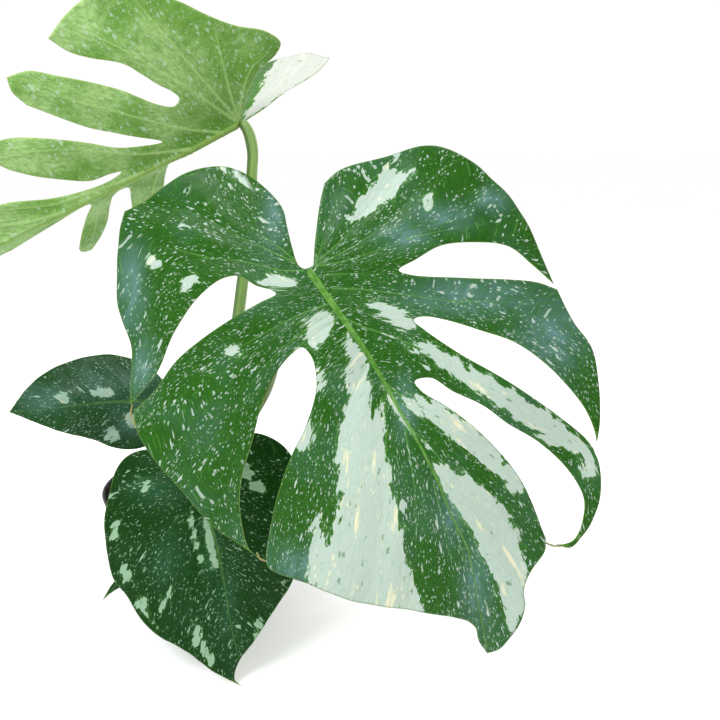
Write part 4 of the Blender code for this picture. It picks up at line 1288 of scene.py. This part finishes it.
def make_soil():
    """Potting mix: an uneven top of peat, with bark chips and perlite lying in it."""
    edge = inner_radius(SOIL_LEVEL) - SOIL_GAP
    shape = bmesh.new()
    middle = shape.verts.new((0, 0, SOIL_TOP))
    loops = []
    for row in range(1, SOIL_ROWS + 1):
        radius = edge * row / SOIL_ROWS
        loop = []
        for side in range(SOIL_SIDES):
            turn = 2 * math.pi * (side + 0.5 * (row % 2)) / SOIL_SIDES
            x, y = radius * math.cos(turn), radius * math.sin(turn)
            loop.append(shape.verts.new((x, y, SOIL_TOP + soil_height(x, y))))
        loops.append(loop)
    turns = [2 * math.pi * side / SOIL_SIDES for side in range(SOIL_SIDES)]
    for drop in (0.5, 1.0):
        height = SOIL_LEVEL - 3 * MM - (SOIL_LEVEL - 8 * MM) * drop
        radius = inner_radius(height) - SOIL_GAP
        loops.append([shape.verts.new((radius * math.cos(t), radius * math.sin(t), height)) for t in turns])
    for side in range(SOIL_SIDES):
        after = (side + 1) % SOIL_SIDES
        shape.faces.new((middle, loops[0][side], loops[0][after]))
        for inner, outer in zip(loops, loops[1:]):
            shape.faces.new((inner[side], outer[side], outer[after], inner[after]))
    shape.faces.new(list(reversed(loops[-1])))

    rng = random.Random(11)
    for count, slot, corners, low, high, flatness in (
        (330, CHIP_SLOT, 12, 2.2, 6.5, 0.34), (150, PERLITE_SLOT, 16, 0.9, 2.3, 0.8),
    ):
        for _ in range(count):
            away = (edge - 5 * MM) * math.sqrt(rng.uniform(0.03, 1))
            turn = rng.uniform(0, 2 * math.pi)
            x, y = away * math.cos(turn), away * math.sin(turn)
            size = rng.uniform(low, high) * MM
            sizes = (size, size * rng.uniform(0.5, 0.8), size * flatness * rng.uniform(0.7, 1.1))
            lift = SOIL_TOP + soil_height(x, y) + sizes[2] * rng.uniform(0.1, 0.6)
            lump(shape, rng, (x, y, lift), sizes, slot, corners)
    bmesh.ops.recalc_face_normals(shape, faces=shape.faces)
    mesh = bpy.data.meshes.new("potting_mix")
    shape.to_mesh(mesh)
    shape.free()
    add_piece("potting_mix", mesh, (soil_skin(), chip_skin(), perlite_skin()), "soil")
    mesh.set_sharp_from_angle(angle=SOIL_CREASE)


ROOT_RADIUS = 2.2 * MM


def make_roots():
    """Two aerial roots that leave the stem and go down into the mix."""
    material = root_skin()
    up = Vector((0, 0, 1))

    def corky(share, angle):
        knots = 0.09 * np.sin(angle * 3 + share * 31) + 0.07 * math.sin(share * 46)
        return ROOT_RADIUS * (1 - 0.2 * share) * (0.93 + knots)

    for side, turn, height, spread in (("left", 200, 26, 26), ("back", 70, 34, 24)):
        way = Vector((math.cos(math.radians(turn)), math.sin(math.radians(turn)), 0))
        start = stalk_base(turn, height, ROOT_RADIUS)
        landing = CROWN + way * (STEM_RADIUS + spread * MM)
        route = [start - way * 5 * MM + up * 1 * MM, start + way * 9 * MM - up * 2 * MM,
                 landing + up * 0.45 * height * MM, landing - up * 3 * MM]

        make_stalk(f"{side}_aerial_root", route, up, corky, material, f"aerial_root_{side}",
                   sides=16, step=1 * MM)


def make_threads(joint):
    """The dried threads at the large leaf's slits."""
    material = thread_skin()

    def tapered(share, angle):
        return (0.75 - 0.45 * abs(share - 0.4)) * MM * (1 + 0.1 * np.cos(2 * angle))

    for number, thread in enumerate(LARGE_THREADS, 1):
        route = [Vector(point) for point in facing_blade(joint, np.array(thread, float), LARGE_LEAF_BEND)]
        make_stalk(f"slit_thread_{number}", route, Vector((0.2, -0.9, 0.3)), tapered, material,
                   None, sides=8, step=0.8 * MM)


# Each leaf's outline, bend, midrib, side veins, pale patches, and spots of painted light: sheen, or on the
# folded leaf light and shade
DESIGNS = {
    "large": (LARGE_LEAF, LARGE_LEAF_BEND, LARGE_MIDRIB, LARGE_VEINS, LARGE_PATCHES, LARGE_SHEEN),
    "folded": (FOLDED_LEAF, FOLDED_LEAF_BEND, FOLDED_MIDRIB_LINE, FOLDED_VEINS, FOLDED_PATCHES,
               FOLDED_LIGHT_AND_SHADE),
    "heart": (HEART_LEAF, HEART_LEAF_BEND, HEART_MIDRIB, fan_veins(HEART_MIDRIB, HEART_FAN), HEART_PATCHES,
              HEART_SHEEN),
    "oval": (OVAL_LEAF, OVAL_LEAF_BEND, OVAL_MIDRIB, fan_veins(OVAL_MIDRIB, OVAL_FAN), OVAL_PATCHES,
             OVAL_SHEEN),
    "small": (SMALL_LEAF, SMALL_LEAF_BEND, SMALL_MIDRIB, fan_veins(SMALL_MIDRIB, SMALL_FAN), [], []),
}

# Each leaf's upper skin, as variegated takes it. The second green is painted sheen, and on the folded leaf
# painted light.
LEAF_TOPS = {
    "large": (((24, 68, 6), (82, 114, 112), (40, 90, 14)), (152, 167, 155), (204, 196, 160), (82, 128, 60),
              0.15, 1.15, 0.36, 0.9, 0.6),
    # The heart leaf's greens are its own dark green, made darker still by painted shade where the large leaf
    # shades it.
    "heart": (((4, 42, 0), (30, 68, 42), (14, 56, 4)), (120, 148, 122), (152, 162, 122), (60, 106, 46),
              0.2, 0.85, 0.4, 0.3, 0.14),
    "oval": (((14, 50, 12), (52, 84, 70), (26, 66, 22)), (124, 148, 132), (168, 160, 122), (72, 114, 80),
             0.45, 0.75, 0.36, 0.3, 0.12),
    "small": (((12, 46, 12), (26, 62, 34), (20, 60, 16)), (100, 132, 102), (128, 142, 108), (58, 98, 52),
              0.5, 0.7, 0.36, 0.3, 0.12),
    "folded": (((34, 82, 12), (68, 122, 12), (54, 104, 14)), (174, 178, 169), (192, 190, 178),
               (104, 148, 60), 0.15, 0.7, 0.36, 0.9, 0.6),
}


def make_leaves():
    """The five leaf blades and their petioles."""
    large = CROWN + Vector((116, -165, 243)) * MM
    folded = CROWN + Vector((56, -15, 335)) * MM
    heart = CROWN + Vector((21 * MM, -RIM_RADIUS - HEART_CLEARANCE, 77 * MM))
    oval = CROWN + Vector((-24, 24, 95)) * MM
    small = CROWN + Vector((-10 * MM, -RIM_RADIUS - SMALL_CLEARANCE, WATERING_DEPTH + 11 * MM))

    tops = {}
    for size, (greens, pale, cream, fleck, *amounts) in LEAF_TOPS.items():
        greens = [rgb(*green) for green in greens]
        tops[size] = variegated(f"{size}_leaf_top", greens, rgb(*pale), rgb(*cream), rgb(*fleck), *amounts)
    under = leaf_underside("leaf_back", rgb(92, 128, 66), rgb(112, 146, 80), rgb(74, 114, 58),
                           rgb(146, 166, 134), 0.4)
    # A brighter copy of the back for the folded leaf: painted light, where light shines through it from
    # behind.
    lit_under = leaf_underside("folded_leaf_back_backlit", rgb(100, 140, 62), rgb(142, 174, 108), rgb(70, 112, 36),
                               rgb(164, 184, 162), 0.6)
    for size, joint, place, spacing, pillow, back, slot in (
        ("large", large, facing_blade, 1.7, 1.5, under, "leaf_upper"),
        ("folded", folded, folded_blade, 1.9, 1.3, lit_under, "leaf_underside"),
        ("heart", heart, facing_blade, 1.5, 1.1, under, "leaf_upper"),
        ("oval", oval, facing_blade, 1.5, 1.1, under, "leaf_upper"),
        ("small", small, facing_blade, 1.5, 1.1, under, "leaf_upper"),
    ):
        make_blade(f"{size}_leaf", joint, place, DESIGNS[size], spacing, pillow, [tops[size], back],
                   f"leaf_blade_{size}")
    make_threads(large)

    stalk = stalk_skin("petiole_green", rgb(124, 156, 78), rgb(50, 80, 12), rgb(152, 178, 116))
    olive = stalk_skin("petiole_olive", rgb(94, 118, 50), rgb(64, 88, 32), rgb(136, 152, 94))
    hooked = RIGHT * 0.6 - UP * 0.8  # the folded leaf's petiole bends over to meet it
    over_rim = WATERING_DEPTH / MM + 16
    for size, turn, height, middle, back, base_radius, end_radius, skin in (
        ("large", -32, 28,
         [(34, -16, 60), (54, -27, 95), (72, -49, 128), (83, -72, 159), (100, -116, 207), (111, -140, 228)],
         blade_back(large, LARGE_LEAF_BEND, (2, -7)), 7, 3.9, olive),
        ("folded", 15, 34,
         [(26, 1, 82), (38, -8, 137), (47, -14, 182), (52, -15, 212), (60, -17, 257), (63, -19, 296),
          (64, -18, 314)],
         (folded - hooked * 3 * MM, hooked), 8, 4.1, stalk),
        ("heart", -72, 12, [(9, -36, 48), (15, -58, 74), (20, -76, 82)],
         blade_back(heart, HEART_LEAF_BEND, (1, -5)), 4.5, 2.4, olive),
        ("oval", 130, 20, [(-17, 19, 62), (-23, 27, 84)],
         blade_back(oval, OVAL_LEAF_BEND, (-8, 0)), 4.5, 2.4, olive),
        ("small", -120, 6, [(-10, -34, 32), (-10, -54, over_rim)],
         blade_back(small, SMALL_LEAF_BEND, (-2, -5)), 3.5, 2, olive),
    ):
        make_petiole(f"{size}_petiole", f"petiole_{size}", turn, height, middle, back, base_radius * MM,
                     end_radius * MM, skin)


# The studio
LENS, SENSOR_WIDTH = 38.6, 36  # mm
NEAREST_SEEN = 0.02
SKY_STRENGTH = 1.03
FLOOR_REACH = 60  # from the floor's middle to its sides


def area_light(name, place, target, size, power, colour):
    """A round soft light, turned towards its target."""
    light = bpy.data.lights.new(name, "AREA")
    light.shape = "DISK"
    light.size = size
    light.energy = power
    light.color = colour
    made = add_object(name, light)
    made.location = place
    made.rotation_euler = (Vector(target) - Vector(place)).to_track_quat("-Z", "Y").to_euler()


def make_studio():
    """The camera at the photograph's angle, soft daylight, and a plain pale floor."""
    scene = bpy.context.scene
    camera = bpy.data.cameras.new("front_camera")
    camera.lens = LENS
    camera.sensor_width = SENSOR_WIDTH
    camera.clip_start = NEAREST_SEEN
    scene.camera = add_object("front_camera", camera)
    scene.camera.location = EYE
    scene.camera.rotation_euler = (math.pi / 2 - SIGHT_TILT, 0, 0)

    world = bpy.data.worlds.new("white_studio")
    world.use_nodes = True
    sky = world.node_tree.nodes["Background"].inputs
    sky["Color"].default_value = (1, 1, 1, 1)
    sky["Strength"].default_value = SKY_STRENGTH
    scene.world = world
    area_light("sky_window", (-0.55, -1.0, 1.65), (0.05, -0.1, 0.25), 1.0, 36, (0.95, 0.98, 1.0))
    area_light("back_fill", (0.9, 0.9, 1.3), (0.05, 0, 0.3), 1.2, 9, (1.0, 0.98, 0.95))

    shape = bmesh.new()
    bmesh.ops.create_grid(shape, x_segments=8, y_segments=8, size=FLOOR_REACH)
    mesh = bpy.data.meshes.new("floor")
    shape.to_mesh(mesh)
    shape.free()
    mesh.materials.append(floor_skin())
    floor = add_object("floor", mesh)
    scene.view_settings.view_transform = "Standard"


make_studio()
make_pot()
make_soil()
make_stem(bark_skin("main_stem_bark", rgb(104, 112, 56), rgb(126, 104, 66), rgb(78, 66, 42)))
make_leaves()
make_roots()
